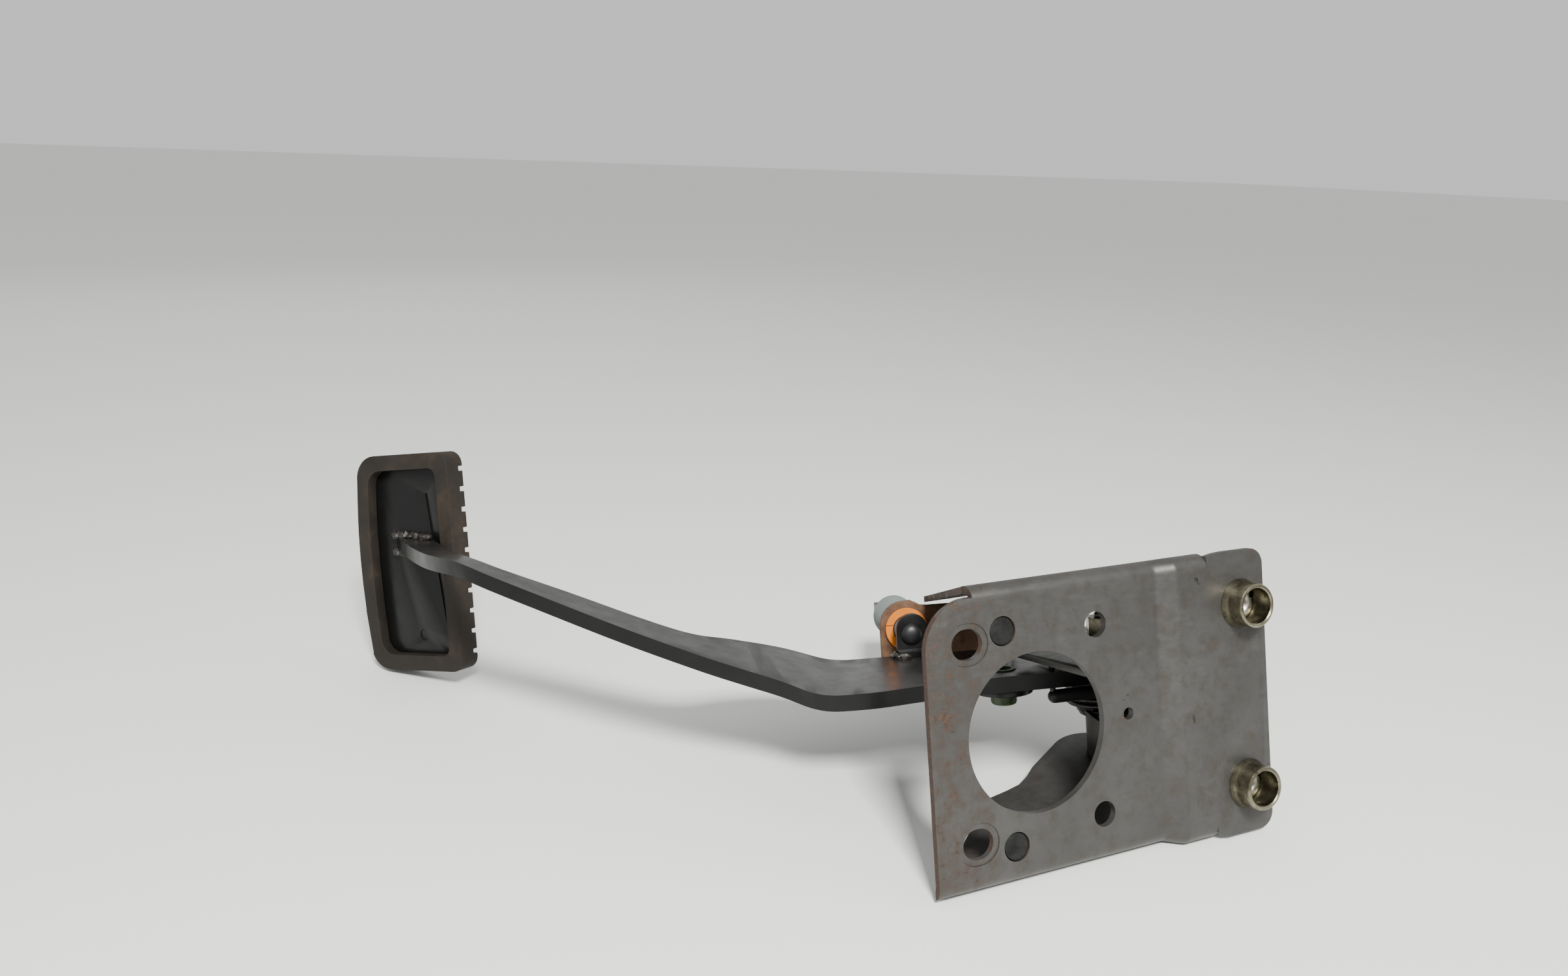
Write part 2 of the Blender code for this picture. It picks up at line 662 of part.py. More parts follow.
def make_switch():
    """The switch bracket, its clip, body, connector and plunger."""
    outline = [(TAB_LEFT, TAB_BOTTOM)] + arc((TAB_LEFT + 12.5, TAB_TOP - 12.5), 12.5, 180, 90, 8)
    outline += [(5.0, TAB_TOP), (8.0, TAB_TOP - 3.4), (40.0, TAB_TOP - 3.4), (40.0, TAB_BOTTOM)]
    tab = switch_slab("switch_bracket", outline, 0, SHEET)
    bore(tab, SWITCH, 8.6, -10, 10, REARWARD)
    finish(tab, bracket, "rusty_steel")
    clip = [(7.0, 5.5), (8.3, 5.5), (8.3, -GAP), (CLIP_R, -GAP), (CLIP_R, -2.2), (7.0, -2.2)]
    finish(switch_turned("switch_clip", clip, ring=True), bracket, "orange_plastic")
    body = [(0, 42), (CASE_R - 1.2, 42), (CASE_R, 40.8)]
    for rib in range(5):
        body += [(CASE_R, 37.0 - 4.2 * rib), (CASE_R - 0.7, 36.4 - 4.2 * rib), (CASE_R - 0.7, 34.9 - 4.2 * rib),
                 (CASE_R, 34.3 - 4.2 * rib)]
    body += [(CASE_R, 13.5), (CASE_R - 1, 12.5), (BARREL_R, 12.5), (BARREL_R, -4.0), (3.0, -4.0), (3.0, 9.0), (0, 9.0)]
    finish(switch_turned("switch_body", body), bracket, "grey_plastic")
    shell = [(-8.5, -5.5), (8.5, -5.5), (8.5, 5.5), (-8.5, 5.5)]
    plug = switch_slab("switch_connector", shell, 42 + GAP, 56)
    inside = [(u * 0.8, v * 0.7) for u, v in shell]
    apply_boolean(plug, cutter(switch_slab("socket", inside, 54, 60)))
    finish(plug, bracket, "black_plastic", smooth=False)
    tip = [(0, 4.0), (2.6, 4.0), (2.6, -7.8), (1.8, -8.8), (0, -8.8)]
    finish(switch_turned("switch_plunger", tip, 20), plunger_slide, "black_plastic")


def make_stop():
    """The stop tab on the arm's rear edge, its rubber bumper and the weld at its foot."""
    base = ARM_TOP + GAP - SWITCH[2]
    outline = [(-7.5, base), (8.5, base)] + arc((0.5, 2.0), 8.0, 0, 180, 12)
    tab = switch_slab("stop_tab", outline, -15.5, -12.5)
    foot = switch_slab("foot", [(-7.3, base), (8.3, base), (8.3, base + 3.4), (-7.3, base + 3.4)], -19.5, -13.5)
    apply_boolean(tab, cutter(foot), "UNION")
    bore(tab, SWITCH, 3.3, -25, -5, REARWARD, 20)
    finish(tab, pedal, "black_paint")
    bumper = [(0, -9.1), (4.6, -9.1), (5.4, -9.9), (5.4, -12.2), (3.0, -12.2), (3.0, -15.8), (5.2, -15.8), (4.2, -17.6),
              (2.2, -18.6), (0, -18.9)]
    finish(switch_turned("stop_bumper", bumper, 28), pedal, "rubber")
    low = Vector((0, 0, 1)) * 1.0
    bead = [on_switch(-10.2, -14.5, base) + low, on_switch(-9.6, -18.5, base) + low, on_switch(-8.0, -21.6, base) + low,
            on_switch(-3.5, -22.2, base) + low]
    finish(wire("stop_weld", bead, 1.3), pedal, "spring_steel")


# ---------------------------------------------------------------- pad

def rounded_pad(margin, tight, loose, bow):
    """The pad's outline in (across, z), inset by a margin, its outer side bowed."""
    low, high = -PAD_LONG / 2 + margin, PAD_LONG / 2 - margin
    near, far = margin, PAD_WIDE - margin - bow
    outline = arc((near + tight, low + tight), tight, 180, 270, 5)
    outline += arc((far - loose, low + loose), loose, 270, 345, 7)
    outline += [(far + bow * 0.8, -PAD_LONG * 0.14), (far + bow, PAD_LONG * 0.02), (far + bow * 0.9, PAD_LONG * 0.16)]
    outline += arc((far - loose, high - loose), loose, 10, 90, 7)
    outline += arc((near + tight, high - tight), tight, 90, 180, 5)
    return outline


def pad_slab(name, outline, low, high):
    """An (across, z) outline extruded through the pad's thickness, in the bracket's frame."""
    obj = slab(name, outline, low, high, "Y")
    turn = Matrix.Rotation(pi / 2 - PAD_TURN + pi / 2, 4, "Z") @ Matrix.Diagonal((1, -1, 1, 1))
    obj.data.transform(Matrix.Translation(Vector((*PAD_CORNER, PAD_MID_Z)) * MM) @ turn)
    obj.data.flip_normals()
    return obj


def make_pad():
    """The pressed backing plate and the rubber pad that wraps it."""
    backing = pad_slab("pad_backing", rounded_pad(3.4, 5, 11, 2.2), BACKING_AT, BACKING_AT + BACKING_THICK)
    finish(backing, pedal, "black_paint")
    rubber = pad_slab("pad_rubber", rounded_pad(0, 7, 13, 2.5), 0, PAD_DEEP)
    pocket = pad_slab("pocket", rounded_pad(3.1, 5, 11, 2.2), BACKING_AT - GAP, BACKING_AT + BACKING_THICK + GAP)
    apply_boolean(rubber, cutter(pocket))
    window = pad_slab("window", rounded_pad(8.6, 4, 9, 1.5), -5, BACKING_AT + 0.5)
    apply_boolean(rubber, cutter(window))
    for i in range(GROOVES):
        level = (i - (GROOVES - 1) / 2) * GROOVE_PITCH
        line = [(-5, level - GROOVE_WIDE / 2), (PAD_WIDE + 9, level - GROOVE_WIDE / 2),
                (PAD_WIDE + 9, level + GROOVE_WIDE / 2), (-5, level + GROOVE_WIDE / 2)]
        apply_boolean(rubber, cutter(pad_slab("groove", line, PAD_DEEP - GROOVE_DEEP, PAD_DEEP + 5)))
    finish(rubber, pedal, "rubber")
    at = BACKING_AT - 2.4
    for name, offset in (("pad_weld_upper", 2.4), ("pad_weld_lower", -ARM_THICK - 2.4)):
        bead = []
        for across in (21.0, 27.0, 33.0, 39.0):
            plan = pad_point(across, at)
            bead.append((plan.x, plan.y, arm_height(plan.x, plan.y) + offset))
        finish(wire(name, bead, 1.9), pedal, "spring_steel")


make_plate()
make_bracket()
make_collars()
make_pivot()
make_hub()
make_spring()
make_arm()
make_clevis()
make_switch()
make_stop()
make_pad()
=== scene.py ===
import json
from math import acos, atan2, cos, pi, radians, sin, tan

import bmesh
import bpy
from mathutils import Matrix, Vector, noise


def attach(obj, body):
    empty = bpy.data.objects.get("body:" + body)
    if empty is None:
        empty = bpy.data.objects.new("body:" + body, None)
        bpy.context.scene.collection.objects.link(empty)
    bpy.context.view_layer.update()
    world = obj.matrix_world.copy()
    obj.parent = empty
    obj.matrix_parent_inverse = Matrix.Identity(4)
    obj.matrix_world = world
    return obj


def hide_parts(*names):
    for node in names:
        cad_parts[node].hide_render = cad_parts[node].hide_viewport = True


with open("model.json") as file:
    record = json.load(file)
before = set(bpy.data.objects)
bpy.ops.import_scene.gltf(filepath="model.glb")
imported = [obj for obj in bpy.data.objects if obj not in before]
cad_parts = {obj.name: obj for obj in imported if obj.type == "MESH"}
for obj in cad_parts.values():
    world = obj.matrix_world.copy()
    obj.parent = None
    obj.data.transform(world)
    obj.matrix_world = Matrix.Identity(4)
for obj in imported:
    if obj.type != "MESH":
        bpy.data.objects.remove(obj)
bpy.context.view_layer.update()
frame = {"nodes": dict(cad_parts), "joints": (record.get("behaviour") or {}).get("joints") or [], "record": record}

# ---------------------------------------------------------------- the bracket's own frame
# X along the firewall plate, Y from its front face to the rear, Z along the pivot; millimetres.

MM = 0.001
PIVOT = Vector((80.0, 55.0, 0.0))
swing = next(j for j in frame["joints"] if j["name"] == "pedal_swing")
firewall = next(m for m in frame["record"]["mounts"] if m["name"] == "firewall_face")
LATERAL = Vector(swing["axis"]).normalized()
REAR = -Vector(firewall["axis"]).normalized()
ALONG = REAR.cross(LATERAL)
TURN = Matrix((ALONG, REAR, LATERAL)).transposed()
ORIGIN = Vector(swing["pos_m"]) - TURN @ (PIVOT * MM)
FRAME = Matrix.Translation(ORIGIN) @ TURN.to_4x4() @ Matrix.Scale(MM, 4)

SHEET = 3.0
BEND_R = 6.0
BEND_TOP, BEND_BOTTOM = 56.3, -54.0
UPPER_TAPER, LOWER_TAPER = radians(11.5), radians(20.5)
JOG_START, JOG_END, JOG_DEPTH = 62.5, 72.5, 4.3
LEFT, RIGHT, WALL_LEFT, WALL_RIGHT = -50.0, 119.5, -27.3, 88.2
BOOSTER_R = 33.0
STUD_X, STUD_Z, STUD_R = 31.0, 40.0, 5.4
SLOT_R, SLOT_HALF = 6.2, 0.8
COIN_GROWTH, COIN_DEPTH, COIN_EDGE = 1.38, 0.45, 0.44
PLUGS = ((-14.4, 43.3), (-13.2, -44.6))
PLUG_R = 6.05
COLLAR_X, COLLAR_Z, COLLAR_BORE = 106.0, 40.0, 8.95
DIMPLE_R, DIMPLE_COUNT = 7.2, 3
ARM_TOP, ARM_THICK = 12.0, 7.2
EYE_R, EYE_BORE = 28.0, 15.1
CLEVIS, CLEVIS_BORE = (23.0, 58.0), 6.2
HOOK, HOOK_BORE = (41.0, 45.0), 1.6
COIL_R, COIL_LOW, COIL_PITCH, COIL_TURNS, COIL_START = 18.6, -12.6, 2.85, 3.0, radians(200)
WIRE_R, LEG_LEVEL = 1.3, -0.9
SWITCH = Vector((11.0, 125.0, 23.0))
SWITCH_TURN = radians(-19.6)
PAD_CORNER = Vector((-197.3, 231.0))
PAD_MID_Z = 70.7
PAD_TURN = radians(48.0)
PAD_WIDE, PAD_LONG, PAD_DEEP = 66.0, 117.0, 12.5
BACKING_AT, BACKING_THICK = 6.3, 2.4
GROOVES, GROOVE_PITCH, GROOVE_DEEP = 10, 10.9, 3.2

# ---------------------------------------------------------------- mesh helpers


def arc(centre, radius, start, end, steps):
    """Points of an arc, its angles in degrees, both ends included."""
    angles = [radians(start + (end - start) * i / steps) for i in range(steps + 1)]
    return [(centre[0] + radius * cos(a), centre[1] + radius * sin(a)) for a in angles]


def to_object(name, work, basis=None):
    """A bmesh in bracket millimetres, or in a basis of its own, as an object in the row's frame."""
    if basis:
        bmesh.ops.transform(work, matrix=basis, verts=work.verts)
    bmesh.ops.transform(work, matrix=FRAME, verts=work.verts)
    bmesh.ops.recalc_face_normals(work, faces=work.faces)
    mesh = bpy.data.meshes.new(name)
    work.to_mesh(mesh)
    work.free()
    obj = bpy.data.objects.new(name, mesh)
    bpy.context.scene.collection.objects.link(obj)
    return obj


UP_Y = Matrix(((1, 0, 0, 0), (0, 0, 1, 0), (0, 1, 0, 0), (0, 0, 0, 1)))
ON_SWITCH = Matrix.Translation(SWITCH) @ Matrix.Rotation(SWITCH_TURN, 4, "Z")
REARWARD = Vector((-sin(SWITCH_TURN), cos(SWITCH_TURN), 0))
SIDEWAYS = Vector((cos(SWITCH_TURN), sin(SWITCH_TURN), 0))
PAD_SIDE = Vector((-cos(PAD_TURN), sin(PAD_TURN), 0))
PAD_FACE = Vector((sin(PAD_TURN), cos(PAD_TURN), 0))
ON_PAD = Matrix.Translation((*PAD_CORNER, PAD_MID_Z)) @ Matrix(
    (PAD_SIDE, PAD_FACE, (0, 0, 1))).transposed().to_4x4()


def slab(name, outline, low, high, basis=None, soft=0.0, segments=3):
    """An outline extruded from low to high along its own third axis, its two rims rounded by soft."""
    work = bmesh.new()
    base = [work.verts.new((u, v, low)) for u, v in outline]
    top = [work.verts.new((u, v, high)) for u, v in outline]
    work.faces.new(base[::-1])
    work.faces.new(top)
    count = len(outline)
    for i in range(count):
        work.faces.new((base[i], base[(i + 1) % count], top[(i + 1) % count], top[i]))
    if soft:
        rims = [e for e in work.edges if abs(e.verts[0].co.z - e.verts[1].co.z) < 1e-6]
        bmesh.ops.bevel(work, geom=rims, offset=soft, segments=segments, profile=0.5, affect="EDGES")
    return to_object(name, work, basis)


def turned(name, profile, place, direction=(0, 0, 1), steps=72, ring=False, flats=0, turn=0.0):
    """A profile of (radius, height) turned about a direction through a place."""
    work = bmesh.new()
    steps = flats or steps
    rows = []
    for i in range(steps):
        a = 2 * pi * i / steps + turn
        rows.append([work.verts.new((r * cos(a), r * sin(a), h)) for r, h in profile])
    last = len(profile) - (0 if ring else 1)
    for i in range(steps):
        one, two = rows[i], rows[(i + 1) % steps]
        for k in range(last):
            m = (k + 1) % len(profile)
            corners = [one[k], two[k], two[m], one[m]]
            if profile[k][0] == 0:
                corners = [one[k], two[m], one[m]]
            if profile[m][0] == 0:
                corners = [one[k], two[k], one[m]]
            if profile[k][0] or profile[m][0]:
                work.faces.new(corners)
    bmesh.ops.remove_doubles(work, verts=work.verts, dist=1e-4)
    axis = Vector((0, 0, 1)).rotation_difference(Vector(direction).normalized()).to_matrix().to_4x4()
    return to_object(name, work, Matrix.Translation(Vector(place)) @ axis)


def swept(name, points, radius, sides=16, lumps=0.0, round_ends=False):
    """A round bar along points; radius is a number or a function of the share of the way along."""
    points = [Vector(p) for p in points]
    if round_ends:
        first = (points[0] - points[1]).normalized()
        last = (points[-1] - points[-2]).normalized()
    work = bmesh.new()
    normal = Vector((0, 0, 1))
    if abs((points[1] - points[0]).normalized().z) > 0.9:
        normal = Vector((1, 0, 0))
    sections = []
    total = len(points) - 1
    for i, point in enumerate(points):
        ahead = (points[min(i + 1, total)] - points[max(i - 1, 0)]).normalized()
        normal = (normal - ahead * normal.dot(ahead)).normalized()
        side = ahead.cross(normal)
        r = radius(i / total) if callable(radius) else radius
        sections.append((point, normal.copy(), side, r))
    if round_ends:
        caps = []
        for end, outward in ((sections[0], first), (sections[-1], last)):
            point, normal, side, r = end
            caps.append([(point + outward * r * sin(radians(t)), normal, side, r * cos(radians(t)))
                         for t in (30, 55, 75)])
        sections = caps[0][::-1] + sections + caps[1]
    rings = []
    for point, normal, side, r in sections:
        ring = []
        for k in range(sides):
            a = 2 * pi * k / sides
            spot = point + (normal * cos(a) + side * sin(a)) * r
            if lumps:
                spot += (spot - point) * lumps * noise.noise(spot * 0.7)
            ring.append(work.verts.new(spot))
        rings.append(ring)
    for one, two in zip(rings, rings[1:]):
        for k in range(sides):
            work.faces.new((one[k], one[(k + 1) % sides], two[(k + 1) % sides], two[k]))
    work.faces.new(rings[0][::-1])
    work.faces.new(rings[-1])
    return to_object(name, work)


def evaluated(obj):
    """Apply an object's modifiers to its mesh."""
    bpy.context.view_layer.update()
    graph = bpy.context.evaluated_depsgraph_get()
    mesh = bpy.data.meshes.new_from_object(obj.evaluated_get(graph))
    obj.modifiers.clear()
    obj.data = mesh
    return obj


def cut(target, *tools, operation="DIFFERENCE"):
    """Cut tools out of a piece, or join them to it."""
    for tool in tools:
        modifier = target.modifiers.new("cut", "BOOLEAN")
        modifier.operation = operation
        modifier.solver = "EXACT"
        modifier.object = tool
        evaluated(target)
        bpy.data.objects.remove(tool, do_unlink=True)


def drill(place, radius, low, high, direction=(0, 0, 1), steps=64):
    """A cylinder to cut a round hole with."""
    profile = [(0, low), (radius, low), (radius, high), (0, high)]
    return turned("drill", profile, place, direction, steps)


def soften(obj, width, segments=2, angle=40, tidy=0.4):
    """Round a piece's sharp edges by a width in millimetres."""
    work = bmesh.new()
    work.from_mesh(obj.data)
    bmesh.ops.remove_doubles(work, verts=work.verts, dist=2e-6)
    if tidy:
        bmesh.ops.dissolve_limit(work, angle_limit=radians(tidy), verts=work.verts, edges=work.edges)
    work.to_mesh(obj.data)
    work.free()
    bevel = obj.modifiers.new("soft", "BEVEL")
    bevel.width = width * MM
    bevel.segments = segments
    bevel.limit_method = "ANGLE"
    bevel.angle_limit = radians(angle)
    return evaluated(obj)


def copy_of(node):
    """A visual piece that starts from a CAD node's own mesh."""
    obj = bpy.data.objects.new(node + "_finished", frame["nodes"][node].data.copy())
    bpy.context.scene.collection.objects.link(obj)
    obj.data.materials.clear()
    return obj


def place(obj, body, look, slot, *nodes, sharp=35):
    """Give a piece its material and shading, and hang it on its body in place of CAD nodes."""
    obj.data.materials.clear()
    obj.data.materials.append(look)
    obj.data.shade_smooth()
    obj.data.set_sharp_from_angle(angle=radians(sharp))
    if nodes:
        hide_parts(*nodes)
    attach(obj, body)


# ---------------------------------------------------------------- materials


class Look:
    """A Principled material with node helpers; places are in bracket millimetres."""

    def __init__(self, name, metal=0.0, **inputs):
        self.material = bpy.data.materials.new(name)
        self.material.use_nodes = True
        self.tree = self.material.node_tree
        self.shader = self.tree.nodes["Principled BSDF"]
        self.shader.inputs["Metallic"].default_value = metal
        for key, value in inputs.items():
            self.shader.inputs[key.replace("_", " ")].default_value = value
        source = self.node("ShaderNodeTexCoord")
        self.normal = source.outputs["Normal"]
        mapping = self.node("ShaderNodeMapping")
        back = FRAME.inverted()
        mapping.inputs["Scale"].default_value = (1000, 1000, 1000)
        mapping.inputs["Rotation"].default_value = back.to_euler()
        mapping.inputs["Location"].default_value = back.translation
        self.link(source.outputs["Object"], mapping.inputs["Vector"])
        self.place = mapping.outputs["Vector"]

    def node(self, kind, **settings):
        made = self.tree.nodes.new(kind)
        for key, value in settings.items():
            setattr(made, key, value)
        return made

    def link(self, output, socket):
        self.tree.links.new(output, socket)

    def noise(self, scale, detail=5.0, rough=0.55, distortion=0.0, stretch=None):
        made = self.node("ShaderNodeTexNoise")
        made.inputs["Scale"].default_value = scale
        made.inputs["Detail"].default_value = detail
        made.inputs["Roughness"].default_value = rough
        made.inputs["Distortion"].default_value = distortion
        vector = self.place
        if stretch:
            mapping = self.node("ShaderNodeMapping")
            mapping.inputs["Scale"].default_value = stretch
            self.link(vector, mapping.inputs["Vector"])
            vector = mapping.outputs["Vector"]
        self.link(vector, made.inputs["Vector"])
        return made.outputs["Fac"]

    def ramp(self, value, *stops):
        made = self.node("ShaderNodeValToRGB")
        ramp = made.color_ramp
        while len(ramp.elements) < len(stops):
            ramp.elements.new(0.5)
        for element, (position, colour) in zip(ramp.elements, stops):
            element.position = position
            if isinstance(colour, (int, float)):
                colour = (colour, colour, colour)
            element.color = (*colour, 1.0)
        self.link(value, made.inputs["Fac"])
        return made.outputs["Color"]

    def math(self, operation, a, b):
        made = self.node("ShaderNodeMath", operation=operation)
        for socket, value in zip(made.inputs, (a, b)):
            if isinstance(value, (int, float)):
                socket.default_value = value
            else:
                self.link(value, socket)
        return made.outputs[0]

    def mix(self, share, a, b):
        made = self.node("ShaderNodeMix", data_type="RGBA")
        for socket, value in ((made.inputs[0], share), (made.inputs[6], a), (made.inputs[7], b)):
            if isinstance(value, tuple):
                socket.default_value = (*value, 1.0)
            elif isinstance(value, (int, float)):
                socket.default_value = value
            else:
                self.link(value, socket)
        return made.outputs[2]

    def split(self, vector):
        made = self.node("ShaderNodeSeparateXYZ")
        self.link(vector, made.inputs[0])
        return made.outputs

    def spread(self, value, low, high, to_low=0.0, to_high=1.0):
        made = self.node("ShaderNodeMapRange", interpolation_type="SMOOTHSTEP")
        self.link(value, made.inputs["Value"])
        for key, number in (("From Min", low), ("From Max", high), ("To Min", to_low), ("To Max", to_high)):
            made.inputs[key].default_value = number
        return made.outputs["Result"]

    def bump(self, height, distance, strength=1.0, after=None):
        made = self.node("ShaderNodeBump")
        made.inputs["Strength"].default_value = strength
        made.inputs["Distance"].default_value = distance * MM
        self.link(height, made.inputs["Height"])
        if after:
            self.link(after, made.inputs["Normal"])
        return made.outputs["Normal"]

    def finish(self, colour, rough, metal, normal):
        sockets = {"Base Color": colour, "Roughness": rough, "Metallic": metal, "Normal": normal}
        for key, value in sockets.items():
            if value is not None:
                self.link(value, self.shader.inputs[key])
        return self.material


def pressed_steel():
    """Bare grey sheet, mottled and stained, with rust towards its left side and on the edges there."""
    look = Look("bare_pressed_steel", Specular_IOR_Level=0.5)
    broad = look.noise(0.022, 5, 0.6)
    mottle = look.noise(0.13, 9, 0.75)
    streak = look.noise(0.35, 6, 0.65, stretch=(0.3, 1.0, 1.0))
    tone = look.ramp(broad, (0.3, (0.054, 0.052, 0.049)), (0.7, (0.075, 0.073, 0.069)))
    tone = look.mix(look.spread(mottle, 0.4, 0.7, 0.0, 0.5), tone, (0.039, 0.037, 0.034))
    tone = look.mix(look.spread(streak, 0.5, 0.8, 0.0, 0.3), tone, (0.098, 0.096, 0.091))
    stains = look.spread(look.noise(0.07, 8, 0.7, 0.6), 0.65, 0.69)
    tone = look.mix(look.math("MULTIPLY", stains, 0.8), tone, (0.01, 0.009, 0.008))
    x = look.split(look.place)[0]
    edge = look.spread(look.split(look.normal)[0], -0.85, -0.6, 1.0, 0.0)
    edge = look.math("MULTIPLY", edge, look.spread(x, 22.0, 26.0, 1.0, 0.0))
    near_left = look.math("POWER", look.spread(x, -50.5, 24.0, 1.0, 0.0), 1.8)
    patches = look.noise(0.13, 10, 0.74, 0.25)
    drive = look.math("ADD", patches, look.math("MULTIPLY", near_left, 0.12))
    drive = look.math("ADD", drive, look.math("MULTIPLY", edge, 0.24))
    rust = look.spread(drive, 0.65, 0.71)
    flecks = look.noise(0.5, 6, 0.7)
    rust_tone = look.ramp(flecks, (0.3, (0.015, 0.007, 0.005)), (0.52, (0.036, 0.016, 0.008)),
                          (0.75, (0.1, 0.044, 0.015)))
    haze = look.spread(drive, 0.5, 0.68, 0.0, 0.55)
    tone = look.mix(haze, tone, (0.056, 0.041, 0.031))
    colour = look.mix(look.math("MULTIPLY", rust, 0.9), tone, rust_tone)
    rough = look.mix(rust, look.ramp(streak, (0.3, 0.38), (0.7, 0.52)), (0.85, 0.85, 0.85))
    metal = look.math("SUBTRACT", 0.55, look.math("MULTIPLY", rust, 0.55))
    fine = look.bump(look.noise(1.6, 5, 0.6), 0.03, 0.5)
    normal = look.bump(rust, 0.06, 0.5, fine)
    return look.finish(colour, rough, metal, normal)


def rusted_steel():
    """The switch bracket: brown all over, a little grey left."""
    look = Look("rusted_steel")
    broad = look.noise(0.12, 8, 0.7)
    colour = look.ramp(broad, (0.3, (0.05, 0.024, 0.012)), (0.5, (0.11, 0.053, 0.024)),
                       (0.68, (0.13, 0.085, 0.05)))
    specks = look.spread(look.noise(0.9, 6, 0.7), 0.6, 0.68)
    colour = look.mix(specks, colour, (0.055, 0.025, 0.015))
    rough = look.ramp(broad, (0.3, 0.9), (0.75, 0.6))
    return look.finish(colour, rough, None, look.bump(look.noise(1.1, 8, 0.7), 0.12, 0.6))


def black_paint(name="black_paint", tone=0.0035, dust_and_sheen_level=0.8):
    """Semi-gloss black paint, lighter on what faces up, partly a dusting and partly a painted sheen, with a few
    worn specks.
    """
    look = Look(name, Specular_IOR_Level=0.32)
    broad = look.noise(0.03, 5, 0.6)
    specks = look.spread(look.noise(0.8, 7, 0.75), 0.68, 0.73)
    # Upward faces are mixed towards a lighter grey: partly a dusting, partly a painted sheen standing in for the
    # light the top faces reflect.
    up = look.spread(look.split(look.normal)[2], 0.2, 0.95, 0.0, 1.0)
    dust_and_sheen = look.math("MULTIPLY", up, look.spread(broad, 0.3, 0.75, 0.3 * dust_and_sheen_level, dust_and_sheen_level))
    colour = look.mix(dust_and_sheen, (tone, tone, tone), (0.03, 0.0285, 0.026))
    colour = look.mix(look.math("MULTIPLY", specks, 0.7), colour, (0.13, 0.085, 0.06))
    rough = look.ramp(look.noise(0.09, 6, 0.6), (0.3, 0.26), (0.75, 0.42))
    return look.finish(colour, rough, None, look.bump(look.noise(0.5, 5, 0.6), 0.05, 0.5))


def aged_rubber():
    """Matt black rubber gone brown with dirt."""
    look = Look("aged_rubber", Specular_IOR_Level=0.3)
    broad = look.noise(0.045, 6, 0.65, 0.4)
    colour = look.ramp(broad, (0.3, (0.009, 0.007, 0.0055)), (0.52, (0.016, 0.0122, 0.009)),
                       (0.72, (0.034, 0.0245, 0.016)))
    chalk = look.spread(look.noise(0.35, 8, 0.75), 0.6, 0.75, 0.0, 0.4)
    colour = look.mix(chalk, colour, (0.055, 0.043, 0.031))
    rough = look.ramp(broad, (0.3, 0.62), (0.7, 0.85))
    fine = look.bump(look.noise(2.2, 5, 0.6), 0.06, 0.6)
    return look.finish(colour, rough, None, look.bump(look.noise(0.25, 6, 0.6), 0.2, 0.4, fine))


def plated(name, bright, dull, rough=(0.22, 0.42), dirt=0.6):
    """Bright or dull metal with patches of grime."""
    look = Look(name, metal=1.0)
    broad = look.noise(0.16, 6, 0.65)
    colour = look.ramp(broad, (0.3, dull), (0.7, bright))
    grime = look.spread(look.noise(0.3, 8, 0.7, 0.4), 0.54, 0.66, 0.0, dirt)
    colour = look.mix(grime, colour, (0.06, 0.05, 0.035))
    finish = look.ramp(look.noise(0.4, 5, 0.6), (0.3, rough[0]), (0.7, rough[1]))
    return look.finish(colour, finish, None, look.bump(look.noise(1.5, 4, 0.6), 0.03, 0.5))


def plastic(name, tone, rough=0.45, dirt=0.25):
    """Moulded plastic, slightly uneven, with a dusting of grime."""
    look = Look(name, Specular_IOR_Level=0.45)
    low = tuple(c * 0.82 for c in tone)
    colour = look.ramp(look.noise(0.1, 5, 0.6), (0.3, low), (0.7, tone))
    grime = look.spread(look.noise(0.45, 8, 0.72), 0.58, 0.74, 0.0, dirt)
    colour = look.mix(grime, colour, (0.08, 0.065, 0.05))
    finish = look.ramp(look.noise(0.3, 5, 0.6), (0.3, rough - 0.07), (0.7, rough + 0.12))
    return look.finish(colour, finish, None, look.bump(look.noise(2.5, 4, 0.6), 0.03, 0.4))


def weld_metal():
    """Dark weld bead with bright spatter."""
    look = Look("weld_metal", metal=0.6)
    broad = look.noise(0.7, 6, 0.7)
    colour = look.ramp(broad, (0.4, (0.025, 0.022, 0.02)), (0.62, (0.06, 0.055, 0.05)),
                       (0.72, (0.5, 0.48, 0.45)))
    rough = look.ramp(broad, (0.3, 0.3), (0.7, 0.5))
    return look.finish(colour, rough, None, look.bump(look.noise(0.9, 7, 0.7), 0.35, 0.8))


STEEL = pressed_steel()
RUST = rusted_steel()
PAINT = black_paint()
TAB_PAINT = black_paint("tab_paint", 0.004, 0.1)
PLATE_PAINT = black_paint("pad_plate_paint", 0.004, 0.15)
RUBBER = aged_rubber()
ZINC = plated("yellow_zinc", (0.27, 0.25, 0.18), (0.12, 0.108, 0.07))
NUT = plated("bright_nut", (0.36, 0.35, 0.3), (0.16, 0.15, 0.12), dirt=0.8)
SPRING = plated("dark_spring", (0.06, 0.058, 0.055), (0.025, 0.024, 0.022), (0.3, 0.5), 0.4)
PLUG = plated("plug_weld", (0.045, 0.046, 0.045), (0.02, 0.021, 0.02), (0.5, 0.65), 0.5)
ORANGE = plastic("orange_plastic", (0.72, 0.2, 0.012), 0.42, 0.25)
SLEEVE = plastic("black_sleeve", (0.008, 0.008, 0.008), 0.5, 0.15)
GREY = plastic("grey_plastic", (0.15, 0.17, 0.17), 0.5, 0.3)
BLACK = plastic("black_plastic", (0.013, 0.013, 0.014), 0.4, 0.2)
GREEN = plastic("green_plastic", (0.022, 0.05, 0.01), 0.4, 0.3)
WELD = weld_metal()

# ---------------------------------------------------------------- the pressed bracket


